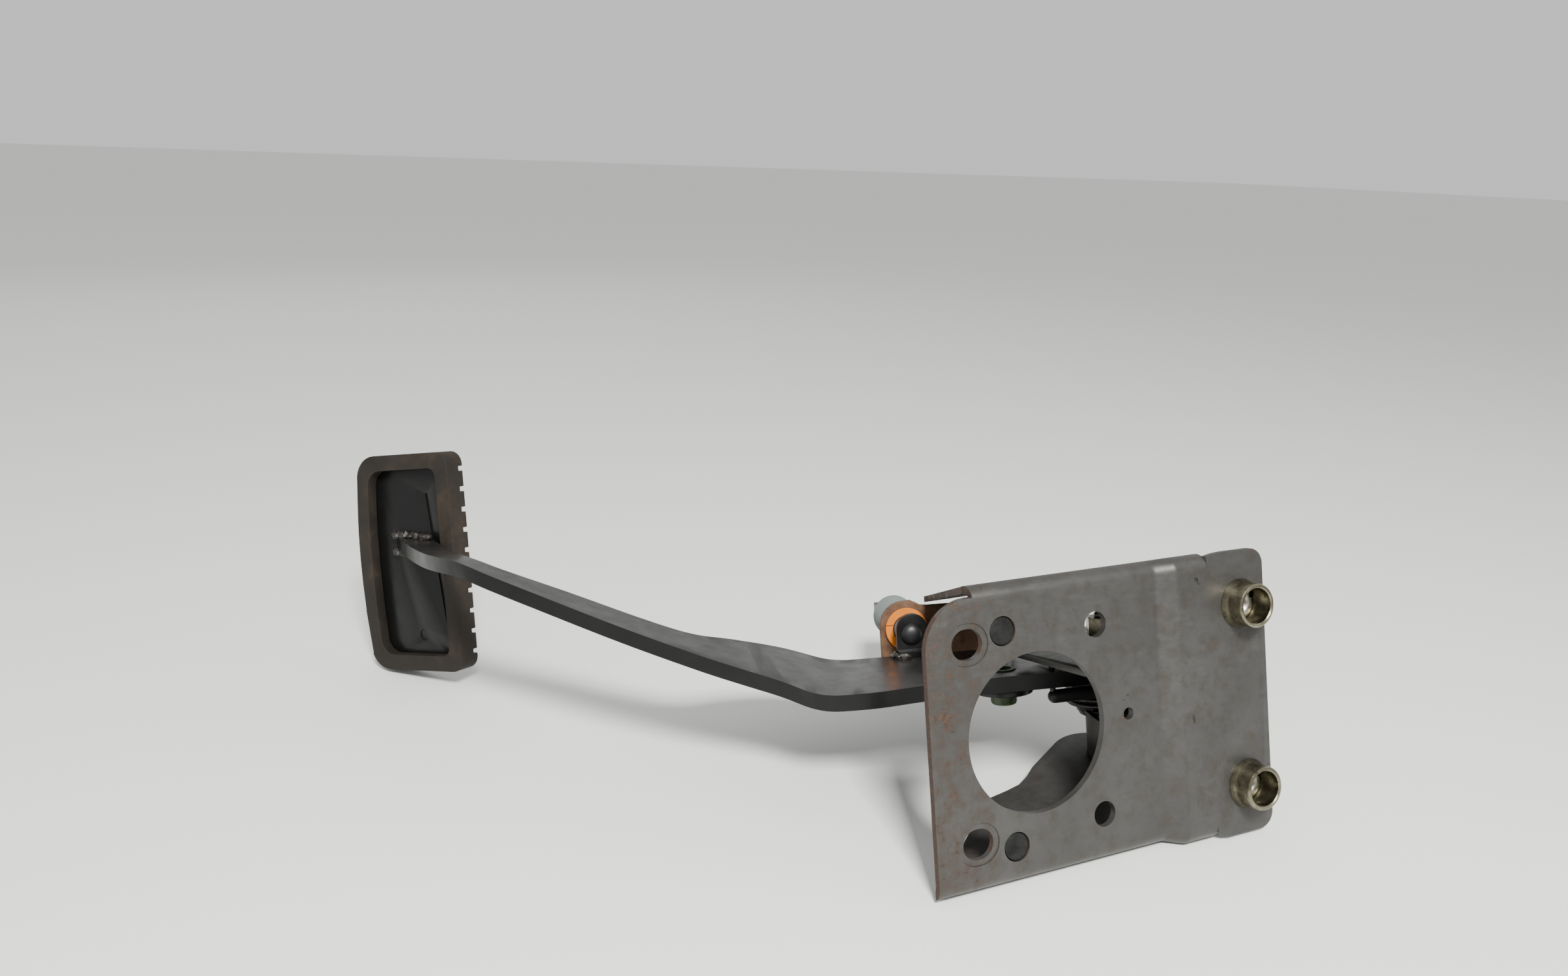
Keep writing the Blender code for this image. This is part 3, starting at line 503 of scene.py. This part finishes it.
def joggle(x):
    """How far the plate stands forward at x: an S between two flats."""
    share = min(max((x - JOG_START) / (JOG_END - JOG_START), 0.0), 1.0)
    ease = 0.18
    if share < ease:
        rise = share * share / (2 * ease)
    elif share > 1 - ease:
        rise = 1 - ease - (1 - share) ** 2 / (2 * ease)
    else:
        rise = share - ease / 2
    return -JOG_DEPTH * rise / (1 - ease)


def shell_section(x):
    """The bracket's section at x, outer then inner side, from the lower wall's rim to the upper one's."""
    shift = joggle(x)
    outer, inner = [], []
    reach = 135.0
    for side, taper, start in ((-1, LOWER_TAPER, BEND_BOTTOM), (1, UPPER_TAPER, BEND_TOP)):
        y0, z0 = BEND_R + shift, start - side * tan(taper) * shift
        bends = []
        for i in range(11):
            a = (pi / 2 + taper) * i / 10
            bends.append([(y0 - r * cos(a), z0 + side * r * sin(a)) for r in (BEND_R, BEND_R - SHEET)])
        ends = [(reach, z - side * tan(taper) * (reach - y)) for y, z in bends[-1]]
        bends.append(ends)
        if side < 0:
            bends.reverse()
            bends.append([(shift, -20.0), (shift + SHEET, -20.0)])
            bends.append([(shift, 20.0), (shift + SHEET, 20.0)])
        outer += [pair[0] for pair in bends]
        inner += [pair[1] for pair in bends]
    return outer, inner


def make_shell():
    """The bracket pressing: plate, joggle, both bends and both side walls in one sheet."""
    xs = [LEFT, -20.0, 20.0, 55.0]
    xs += [JOG_START - 1.5 + (JOG_END - JOG_START + 3) * i / 16 for i in range(17)]
    xs += [80.0, 104.0]
    work = bmesh.new()
    grids = []
    for x in xs:
        outer, inner = shell_section(x)
        grids.append([[work.verts.new((x, y, z)) for y, z in side] for side in (outer, inner)])
    count = len(grids[0][0])
    for one, two in zip(grids, grids[1:]):
        for side in (0, 1):
            for k in range(count - 1):
                work.faces.new((one[side][k], two[side][k], two[side][k + 1], one[side][k + 1]))
        for k in (0, count - 1):
            work.faces.new((one[0][k], two[0][k], two[1][k], one[1][k]))
    for grid in (grids[0], grids[-1]):
        for k in range(count - 1):
            work.faces.new((grid[0][k], grid[0][k + 1], grid[1][k + 1], grid[1][k]))
    shell = to_object("bracket_pressing", work)

    corner = [(-90, 36), (LEFT - 1, 36)] + arc((-30, 38.2), 20, 180, 90, 16) + [
        (WALL_LEFT, 58.2), (WALL_LEFT, 100), (-90, 100)]
    cut(shell, slab("corner", corner, -20, 8.5, UP_Y))
    cut(shell, slab("lobe", [(WALL_RIGHT, -80), (140, -80), (140, 80), (WALL_RIGHT, 80)], -20, 17, UP_Y))

    px, py = PIVOT.x, PIVOT.y
    upper = [(WALL_LEFT, -30), (WALL_LEFT, 5), (19.5, 117), (21, 122.5), (24, 126.5), (28, 128), (40, 126)]
    upper += arc((px - 6, py + 20), 24, 80, 10, 14) + [(WALL_RIGHT + 8, 42), (WALL_RIGHT + 6.5, 36),
                                                       (WALL_RIGHT, 24), (WALL_RIGHT, -30)]
    ring = slab("ring", [(-120, 8), (160, 8), (160, 180), (-120, 180)], 20, 100)
    cut(ring, slab("keep", upper, 0, 120))
    cut(shell, ring)
    lower = [(LEFT - 5, -30), (LEFT - 5, 0.3), (-49, 4), (0, 44.2), (6, 47.3), (16, 49.2), (24, 51.2),
             (31, 55), (38, 60)]
    lower += arc((px - 6, py - 9), 29.5, 122, 20, 20) + [(WALL_RIGHT + 12, 34), (WALL_RIGHT + 10, 28),
                                                         (WALL_RIGHT, 16), (WALL_RIGHT, -30)]
    ring = slab("ring", [(-120, 3.5), (160, 3.5), (160, 180), (-120, 180)], -120, 10)
    cut(ring, slab("keep", lower, -140, 30))
    cut(shell, ring)
    inside = WALL_RIGHT - 0.4
    ear = [(80, -50), (inside, -50), (inside, -58.6), (90.5, -60.4), (94, -61.4)]
    ear += arc((RIGHT - 7, -54.5), 7, -90, 0, 8) + arc((RIGHT - 7, 56.4), 7, 0, 90, 8)
    ear += [(98, 63.5), (93, 63.2), (inside, 62.4), (inside, 50), (80, 50)]
    cut(shell, slab("ears", ear, -JOG_DEPTH, SHEET - JOG_DEPTH, UP_Y), operation="UNION")
    for sign in (-1, 1):
        cut(shell, drill((COLLAR_X, 0, sign * COLLAR_Z), COLLAR_BORE, -20, 20, (0, 1, 0)))
    shell = soften(shell, 0.55, 3, 50, tidy=0.05)

    booster = drill((0, 0, 0), BOOSTER_R, -20, 20, (0, 1, 0), 144)
    holes = [booster, drill((45.9, 0, 0.1), 2.6, -20, 20, (0, 1, 0), 40)]
    for sign in (-1, 1):
        z = sign * STUD_Z
        slot = arc((-STUD_X + SLOT_HALF, z), SLOT_R, -90, 90, 20)
        slot += arc((-STUD_X - SLOT_HALF, z), SLOT_R, 90, 270, 20)
        coin = [(-STUD_X + COIN_GROWTH * (u + STUD_X), z + COIN_GROWTH * (v - z)) for u, v in slot]
        holes.append(slab("coin", coin, -20, COIN_DEPTH, UP_Y, COIN_EDGE, 3))
        holes.append(slab("slot", slot, -20, 20, UP_Y))
        holes.append(drill((STUD_X, 0, z), STUD_R, -20, 20, (0, 1, 0), 48))
    for u, v in PLUGS:
        holes.append(drill((u, 0, v), PLUG_R, -20, 20, (0, 1, 0), 48))
    holes.append(drill((px, py, 0), 11.3, -90, -20, steps=56))
    holes.append(drill((10, 24, 0), 6.0, -90, -20, steps=40))
    holes.append(drill((52, 62, 0), 7.0, 20, 90, steps=40))
    holes.append(drill((20, 80, 0), 4.5, 20, 90, steps=32))
    cut(shell, *holes)
    place(shell, "bracket", STEEL, "bare_steel", "front_plate", "upper_side_wall", "lower_side_wall")
    for name, (u, v) in zip(("upper", "lower"), PLUGS):
        disc = [(0, 0.12), (4.6, 0.2), (5.5, 0.42), (5.95, 1.1), (5.95, 2.8), (0, 2.8)]
        place(turned(f"plug_{name}", disc, (u, 0, v), (0, 1, 0)), "bracket", PLUG, "bare_steel",
              f"plug_weld_{name}")


def make_collars():
    """Spacer collars with their closed, threaded nuts."""
    for side, name in ((1, "upper"), (-1, "lower")):
        where = (COLLAR_X, 0, side * COLLAR_Z)
        face = -JOG_DEPTH - 0.05
        profile = [(7.6, 6.0), (8.6, 6.0), (8.6, face), (11.0, face), (10.9, face - 0.6), (10.1, face - 2.4),
                   (9.75, face - 3.6), (9.7, -12.9), (9.4, -13.7), (8.9, -14.0), (8.2, -14.0), (7.7, -13.6),
                   (7.6, -13.0)]
        place(turned(f"collar_{name}_turned", profile, where, (0, 1, 0), ring=True), "bracket", ZINC, "zinc",
              f"{name}_collar")
        thread = [(0, 5.6), (7.5, 5.6), (7.5, -3.5), (7.0, -4.0), (5.6, -4.0)]
        for i in range(8):
            thread += [(4.9, -3.6 + i), (4.25, -3.1 + i)]
        thread += [(4.3, 4.4), (0, 4.6)]
        nut = turned(f"collar_{name}_nut_threaded", thread, where, (0, 1, 0))
        for k in range(DIMPLE_COUNT):
            turn = 2 * pi * k / DIMPLE_COUNT + 0.4
            spot = (COLLAR_X + DIMPLE_R * cos(turn), 0, side * COLLAR_Z + DIMPLE_R * sin(turn))
            cut(nut, drill(spot, 1.1, -6, -1.5, (0, 1, 0), 20))
        place(nut, "bracket", NUT, "zinc", f"{name}_collar_nut")


# ---------------------------------------------------------------- pedal arm

BEND_LINE = (Vector((-67.1, 64.4)), Vector((-31.5, 126.6)))
BEND_ALONG = (BEND_LINE[1] - BEND_LINE[0]).normalized()
BEND_ACROSS = Vector((-BEND_ALONG.y, BEND_ALONG.x))
BEND_EASE = 9.0
RAMP_RISE, RAMP_FALL, RAMP_LENGTH = 0.40, 0.315, 166.0


def pad_point(across, out):
    """Plan position of a point on the pad."""
    return PAD_CORNER + PAD_SIDE.xy * across + PAD_FACE.xy * out


def eased(value):
    """Zero below nought and the value above it, with a soft corner between."""
    if abs(value) < BEND_EASE:
        return (value + BEND_EASE) ** 2 / (4 * BEND_EASE)
    return max(value, 0.0)


def arm_height(x, y):
    """Top of the arm: level at the bracket, a ramp, then nearly level at the pad."""
    distance = (Vector((x, y)) - BEND_LINE[0]).dot(BEND_ACROSS)
    return ARM_TOP + RAMP_RISE * eased(distance) - RAMP_FALL * eased(distance - RAMP_LENGTH)


ARM_EDGES = (
    ((72.0, 28.0), (89.5, 81.5)),
    ((49.0, 35.0), (60.0, 93.5)),
    ((10.4, 46.5), (28.0, 105.0)),
    ((-20.0, 53.5), (4.0, 113.8)),
    ((-44.0, 56.5), (-14.0, 120.3)),
    ((-64.0, 64.5), (-31.5, 126.6)),
    ((-79.0, 76.0), (-55.0, 132.0)),
    ((-95.0, 82.5), (-82.0, 128.0)),
    ((-112.0, 90.0), (-104.0, 122.5)),
    ((-140.0, 107.0), (-124.0, 129.5)),
    ((-170.0, 130.0), (-155.0, 148.5)),
    ((-199.0, 155.0), (-190.0, 169.0)),
    ((-212.0, 180.0), (-199.5, 190.0)),
    ((-218.0, 212.0), (-202.5, 216.0)),
    (tuple(pad_point(44.5, BACKING_AT - 0.05)), tuple(pad_point(19.0, BACKING_AT - 0.05))),
)


def smooth_row(values, i, t):
    """Catmull-Rom point between control points i and i + 1."""
    last = len(values) - 1
    a, b, c, d = (Vector(values[min(max(k, 0), last)]) for k in (i - 1, i, i + 1, i + 2))
    square, cube = 2 * a - 5 * b + 4 * c - d, 3 * b - a - 3 * c + d
    return 0.5 * (2 * b + (c - a) * t + square * t * t + cube * t ** 3)


def make_arm():
    """The arm, lofted along its two edges with a few strips across, and joined to its round end."""
    steps, strips = 8, 6
    fronts, rears = [e[0] for e in ARM_EDGES], [e[1] for e in ARM_EDGES]
    work = bmesh.new()
    rows = []
    for i in range(len(ARM_EDGES) - 1):
        for k in range(steps + (i == len(ARM_EDGES) - 2)):
            front, rear = smooth_row(fronts, i, k / steps), smooth_row(rears, i, k / steps)
            flat = [front.lerp(rear, s / strips) for s in range(strips + 1)]
            top = [Vector((p.x, p.y, arm_height(p.x, p.y))) for p in flat]
            low = [p - Vector((0, 0, ARM_THICK)) for p in top]
            rows.append([work.verts.new(p) for p in top + low[::-1]])
    count = len(rows[0])
    for one, two in zip(rows, rows[1:]):
        for k in range(count):
            work.faces.new((one[k], one[(k + 1) % count], two[(k + 1) % count], two[k]))
    work.faces.new(rows[0][::-1])
    work.faces.new(rows[-1])
    arm = to_object("arm_bar", work)
    cut(arm, drill((PIVOT.x, PIVOT.y, 0), EYE_R, ARM_TOP - ARM_THICK, ARM_TOP, steps=96), operation="UNION")
    cut(arm, drill((PIVOT.x, PIVOT.y, 0), EYE_BORE, -5, 25),
        drill((*CLEVIS, 0), CLEVIS_BORE, -5, 25, steps=40), drill((*HOOK, 0), HOOK_BORE, -5, 25, steps=24))
    soften(arm, 0.8, 3, 40, tidy=0.02)
    place(arm, "pedal", PAINT, "black_paint", "pedal_arm", sharp=30)


def make_pad():
    """The rubber pad, its pressed backing plate and the welds that hold the arm."""

    def outline(margin, tight, loose, bow, fine=10):
        low, high = -PAD_LONG / 2 + margin, PAD_LONG / 2 - margin
        near, far = margin, PAD_WIDE - margin - bow
        points = arc((near + tight, low + tight), tight, 180, 270, fine)
        points += arc((far - loose, low + loose), loose, 270, 345, fine)
        points += [(far + bow * 0.55, -PAD_LONG * 0.22), (far + bow * 0.88, -PAD_LONG * 0.1),
                   (far + bow, PAD_LONG * 0.02), (far + bow * 0.9, PAD_LONG * 0.14),
                   (far + bow * 0.6, PAD_LONG * 0.24)]
        points += arc((far - loose, high - loose), loose, 10, 90, fine)
        points += arc((near + tight, high - tight), tight, 90, 180, fine)
        return points

    basis = ON_PAD @ UP_Y
    rubber = slab("pad_moulding", outline(0, 7, 13, 2.5), 0, PAD_DEEP, basis, 1.3, 4)
    pocket = outline(3.1, 5, 11, 2.2)
    cut(rubber, slab("pocket", pocket, BACKING_AT - 0.1, BACKING_AT + BACKING_THICK + 0.2, basis))
    cut(rubber, slab("window", outline(8.4, 4.5, 9, 1.6), -5, BACKING_AT + 0.5, basis))
    soften(rubber, 0.9, 3, 60, tidy=0.05)
    across = ON_PAD @ Matrix(((0, 0, 1, 0), (0, 1, 0, 0), (1, 0, 0, 0), (0, 0, 0, 1)))
    for i in range(GROOVES):
        level = (i - (GROOVES - 1) / 2) * GROOVE_PITCH
        floor_at, mouth_at = PAD_DEEP - GROOVE_DEEP, PAD_DEEP + 4
        groove = [(level - 1.2, floor_at), (level + 1.2, floor_at), (level + 1.5, mouth_at),
                  (level - 1.5, mouth_at)]
        cut(rubber, slab("groove", groove, -5, PAD_WIDE + 9, across))
    place(rubber, "pedal", RUBBER, "rubber", "pad_rubber")

    plate = slab("pad_plate", outline(3.3, 5, 11, 2.2), BACKING_AT, BACKING_AT + BACKING_THICK, basis, 0.3, 2)
    bead = arc((12.6, -39), 1.0, 180, 360, 8) + arc((20.5, 36), 1.0, 0, 180, 8)
    cut(plate, slab("emboss", bead, BACKING_AT - 3, BACKING_AT + 0.9, basis))
    cut(plate, drill(ON_PAD @ Vector((30, 0, -40)), 3.2, BACKING_AT - 3, BACKING_AT + 0.7, PAD_FACE, 32))
    place(soften(plate, 0.35, 2, 50), "pedal", PLATE_PAINT, "black_paint", "pad_backing")

    for name, offset in (("upper", 1.2), ("lower", -ARM_THICK - 1.2)):
        path = []
        for i in range(19):
            plan = pad_point(20.5 + 22.5 * i / 18, BACKING_AT - 1.6 + 0.3 * sin(i * 1.7))
            path.append((plan.x, plan.y, arm_height(plan.x, plan.y) + offset + 0.3 * cos(i * 2.1)))
        bead = swept(f"pad_bead_{name}", path, lambda t: 2.2 + 0.35 * sin(t * 40), 14, 0.5, round_ends=True)
        place(bead, "pedal", WELD, "spring_steel", f"pad_weld_{name}")


# ---------------------------------------------------------------- switch and stop


def make_switch():
    """The stop lamp switch in its bracket."""
    basis = ON_SWITCH @ UP_Y
    outline = [(-13.4, -16.5)] + arc((-0.4, 1.1), 13.0, 180, 92, 16)
    outline += [(3.0, 14.3), (5.5, 13.0), (8.0, 11.6), (12.0, 11.2), (40.0, 11.2), (40.0, -16.5)]
    tab = slab("switch_tab", outline, 0, 3.0, basis)
    cut(tab, drill(SWITCH, 8.6, -10, 10, REARWARD))
    place(soften(tab, 0.5, 3, 35), "bracket", RUST, "rusty_steel", "switch_bracket")
    clip = [(7.0, 5.5), (8.3, 5.5), (8.4, 4.2), (8.3, 3.6), (8.3, -0.05), (10.6, -0.05), (10.8, -0.4),
            (10.8, -1.8), (10.5, -2.2), (7.3, -2.2), (7.0, -1.9)]
    flange = turned("clip_turned", clip, SWITCH, REARWARD, ring=True)
    cut(flange, slab("split", [(-11.5, 2.2), (-6.5, 2.2), (-6.5, 2.7), (-11.5, 2.7)], -3, -1.4, basis))
    place(flange, "bracket", ORANGE, "orange_plastic", "switch_clip")
    body = [(0, 42), (9.6, 42), (10.6, 41.6), (11.1, 40.8), (11.2, 39.6)]
    for rib in range(5):
        top = 37.6 - 4.2 * rib
        body += [(11.2, top), (10.5, top - 0.6), (10.4, top - 2.0), (11.1, top - 2.6)]
    body += [(11.2, 14.4), (10.9, 13.2), (10.0, 12.6), (8.4, 12.5), (8.4, 6.0), (6.6, 5.8), (6.6, -3.6),
             (6.2, -4.0), (3.0, -4.0), (3.0, 9.0), (0, 9.0)]
    place(turned("switch_barrel", body, SWITCH, REARWARD), "bracket", GREY, "grey_plastic", "switch_body")
    rectangle = [(-8.5, -5.5), (8.5, -5.5), (8.5, 5.5), (-8.5, 5.5)]
    plug = slab("switch_plug", rectangle, 42.05, 56, basis)
    cut(plug, slab("socket", [(u * 0.8, v * 0.7) for u, v in rectangle], 46, 60, basis))
    place(soften(plug, 0.6, 3, 40), "bracket", BLACK, "black_plastic", "switch_connector")
    tip = [(0, 4.0), (2.6, 4.0), (2.6, -7.4), (2.3, -8.2), (1.5, -8.7), (0, -8.8)]
    pin = turned("plunger_pin", tip, SWITCH, REARWARD, 40)
    place(pin, "plunger", BLACK, "black_plastic", "switch_plunger")


def make_stop():
    """The stop tab on the arm, its bumper and the weld at its foot."""
    basis = ON_SWITCH @ UP_Y
    base = ARM_TOP + 0.05 - SWITCH.z
    outline = [(-7.5, base), (8.5, base)] + arc((0.5, 2.0), 8.0, 0, 180, 24)
    tab = slab("stop_plate", outline, -15.5, -12.5, basis)
    rectangle = [(-7.3, base), (8.3, base), (8.3, base + 3.4), (-7.3, base + 3.4)]
    cut(tab, slab("foot", rectangle, -19.5, -13.5, basis), operation="UNION")
    cut(tab, drill(SWITCH, 3.3, -25, -5, REARWARD, 32))
    place(soften(tab, 0.5, 3, 40), "pedal", TAB_PAINT, "black_paint", "stop_tab")
    bumper = [(0, -9.1), (4.4, -9.1), (5.2, -9.5), (5.4, -10.2), (5.4, -11.6), (5.0, -12.4), (3.2, -12.45),
              (3.2, -15.55), (5.3, -15.6), (5.3, -16.3), (4.9, -17.1), (3.9, -18.0), (2.2, -18.6), (0, -18.8)]
    place(turned("bumper_moulding", bumper, SWITCH, REARWARD), "pedal", BLACK, "rubber", "stop_bumper")
    path = []
    for e, a in ((-8.2, -13.0), (-9.2, -15.0), (-9.6, -17.4), (-9.2, -19.6), (-7.6, -21.0), (-5.2, -21.4),
                 (-3.0, -21.2)):
        path.append(SWITCH + SIDEWAYS * e + REARWARD * a + Vector((0, 0, base + 0.8)))
    bead = swept("stop_bead", path, lambda t: 1.7 + 0.3 * sin(t * 17), 14, 0.6, round_ends=True)
    place(bead, "pedal", WELD, "spring_steel", "stop_weld")


# ---------------------------------------------------------------- pivot and spring


def make_pivot():
    """The hub, the bolt and small turned parts through it, and the clevis bush."""
    axis = (PIVOT.x, PIVOT.y, 0)
    hub = [(10.3, 14.6), (14.5, 14.6), (15.0, 14.1), (15.0, -14.5), (14.5, -15.0), (10.3, -15.0)]
    place(turned("hub", hub, axis, ring=True), "pedal", PAINT, "black_paint", "hub_tube")
    fillet = [(15.0, 12.0), (17.4, 12.0), (16.3, 12.6), (15.5, 13.5), (15.0, 14.0)]
    place(turned("hub_bead", fillet, axis, ring=True), "pedal", WELD, "spring_steel")
    head = -41.8
    bolt = [(0, 32.5), (3.6, 32.5), (4.9, 31.2)]
    for i in range(8):
        bolt += [(5.0, 30.6 - i), (4.55, 30.1 - i)]
    bolt += [(5.0, 22.4), (5.0, head), (8.4, head), (8.6, head - 0.3), (8.6, head - 2.7), (8.2, head - 3.3),
             (7.4, head - 3.65), (0, head - 3.7)]
    place(turned("bolt", bolt, axis), "bracket", ZINC, "zinc", "pivot_bolt")
    for node, look, slot, width in (("pivot_nut", ZINC, "zinc", 0.5), ("pivot_washer", ZINC, "zinc", 0.3),
                                    ("pivot_boss", STEEL, "bare_steel", 0.6),
                                    ("inner_cheek", STEEL, "bare_steel", 0.4),
                                    ("pivot_sleeve", STEEL, "bare_steel", 0.3)):
        place(soften(copy_of(node), width, 2), "bracket", look, slot, node)
    for node, look, slot in (("hub_bush_lower", BLACK, "black_plastic"),
                             ("hub_bush_upper", BLACK, "black_plastic"),
                             ("clevis_doubler", PAINT, "black_paint")):
        place(soften(copy_of(node), 0.3, 2), "pedal", look, slot, node)
    low = ARM_TOP - ARM_THICK - 0.3
    bush = [(4.2, 12.6), (5.4, 12.6), (5.9, 12.2), (5.9, low - 2.8), (6.0, low - 3.0), (6.0, low - 7.0),
            (5.6, low - 8.0), (4.9, low - 8.4), (4.2, low - 8.4)]
    moulding = turned("bush_moulding", bush, (*CLEVIS, 0), ring=True)
    place(moulding, "pedal", GREEN, "green_plastic", "clevis_bush")


def on_coil(angle, height):
    """A point on the return spring's cylinder."""
    return Vector((PIVOT.x + COIL_R * cos(angle), PIVOT.y + COIL_R * sin(angle), height))


def make_spring():
    """The coil with its fixed foot, and the free leg that hooks the arm, in its sleeve."""
    fine = 40
    points = []
    for i in range(int(COIL_TURNS * fine) + 1):
        points.append(on_coil(2 * pi * i / fine + COIL_START, COIL_LOW + COIL_PITCH * i / fine))
    foot = [Vector((52.0, 6.5, COIL_LOW - 3)), Vector((56.0, 20.0, COIL_LOW - 3)),
            points[0] + Vector((-1.4, -6.0, -0.9))]
    start = [foot[0], foot[0].lerp(foot[1], 0.6), foot[1], foot[1].lerp(foot[2], 0.3), foot[2]]
    place(swept("coil", start + points, WIRE_R, 12), "bracket", SPRING, "spring_steel", "return_spring")
    reach = Vector(HOOK) - PIVOT.xy
    leaves = atan2(reach.y, reach.x) + acos(COIL_R / reach.length)
    leg = [on_coil(leaves + radians(60) * (1 - i / 15), LEG_LEVEL) for i in range(16)]
    tangent, end = leg[-1], Vector((*HOOK, LEG_LEVEL))
    along = (end - tangent).normalized()
    leg += [end - along * 1.8, end - along * 0.8 + Vector((0, 0, 0.2)), end + Vector((0, 0, 0.9)),
            end + Vector((0, 0, 2.0)), Vector((*HOOK, ARM_TOP + 1.5))]
    place(swept("leg", leg, WIRE_R, 12), "pedal", SPRING, "spring_steel", "spring_leg")
    length = (end - tangent).length
    cover = [(0, 3.0), (2.6, 3.0), (3.1, 3.5)]
    cover += [(3.1 * cos(radians(t)), length - 0.6 + 3.0 * sin(radians(t))) for t in (0, 20, 40, 60, 78)]
    cover += [(0, length + 2.4)]
    place(turned("leg_cover", cover, tangent, along, 36), "pedal", SLEEVE, "rubber", "spring_leg_cover")


make_shell()
make_collars()
make_arm()
make_pad()
make_switch()
make_stop()
make_pivot()
make_spring()

# ---------------------------------------------------------------- floor, light and camera


def stage_plane(name, size, look):
    """A square on the ground under the object."""
    work = bmesh.new()
    bmesh.ops.create_grid(work, x_segments=1, y_segments=1, size=size)
    mesh = bpy.data.meshes.new(name)
    work.to_mesh(mesh)
    work.free()
    obj = bpy.data.objects.new(name, mesh)
    bpy.context.scene.collection.objects.link(obj)
    obj.data.materials.append(look)
    return obj


floor_look = bpy.data.materials.new("pale_floor")
floor_look.use_nodes = True
floor_shader = floor_look.node_tree.nodes["Principled BSDF"]
floor_shader.inputs["Base Color"].default_value = (0.8, 0.81, 0.785, 1.0)
floor_shader.inputs["Roughness"].default_value = 0.55
floor_shader.inputs["Specular IOR Level"].default_value = 0.3
floor = stage_plane("floor", 20.0, floor_look)
floor.location.z = -0.0003

world = bpy.data.worlds.new("studio")
bpy.context.scene.world = world
world.use_nodes = True
background = world.node_tree.nodes["Background"]
background.inputs["Color"].default_value = (0.95, 0.965, 0.95, 1.0)
background.inputs["Strength"].default_value = 0.78


def soft_light(name, where, aim, size, power, colour=(1, 1, 1)):
    """A square area light pointed at a place."""
    data = bpy.data.lights.new(name, "AREA")
    data.size = size
    data.energy = power
    data.color = colour
    lamp = bpy.data.objects.new(name, data)
    bpy.context.scene.collection.objects.link(lamp)
    lamp.location = where
    lamp.rotation_mode = "QUATERNION"
    lamp.rotation_quaternion = (Vector(aim) - Vector(where)).to_track_quat("-Z", "Y")


soft_light("key", (-0.2, -0.86, 1.04), (0.0, 0.0, 0.05), 0.26, 36, (1.0, 0.99, 0.97))
soft_light("side", (1.2, -0.5, 0.9), (0.0, 0.0, 0.05), 0.8, 2)
soft_light("rear", (-0.2, 1.5, 1.2), (0.0, 0.0, 0.05), 1.4, 4)

CAMERA_AT = (-258.9, -365.9, 129.9)
HEADING, TILT, ROLL = radians(22.90), radians(3.16), radians(-3.85)
LENS, SENSOR = 25.2, 36.0

camera_data = bpy.data.cameras.new("camera")
camera_data.lens = LENS
camera_data.sensor_width = SENSOR
camera_data.clip_start = 0.01
camera = bpy.data.objects.new("camera", camera_data)
bpy.context.scene.collection.objects.link(camera)
level_view = Matrix.Rotation(-HEADING, 3, "Z") @ Matrix.Rotation(pi / 2 - TILT, 3, "X")
camera.rotation_mode = "QUATERNION"
camera.rotation_quaternion = (TURN @ level_view @ Matrix.Rotation(ROLL, 3, "Z")).to_quaternion()
camera.location = FRAME @ Vector(CAMERA_AT)
bpy.context.scene.camera = camera
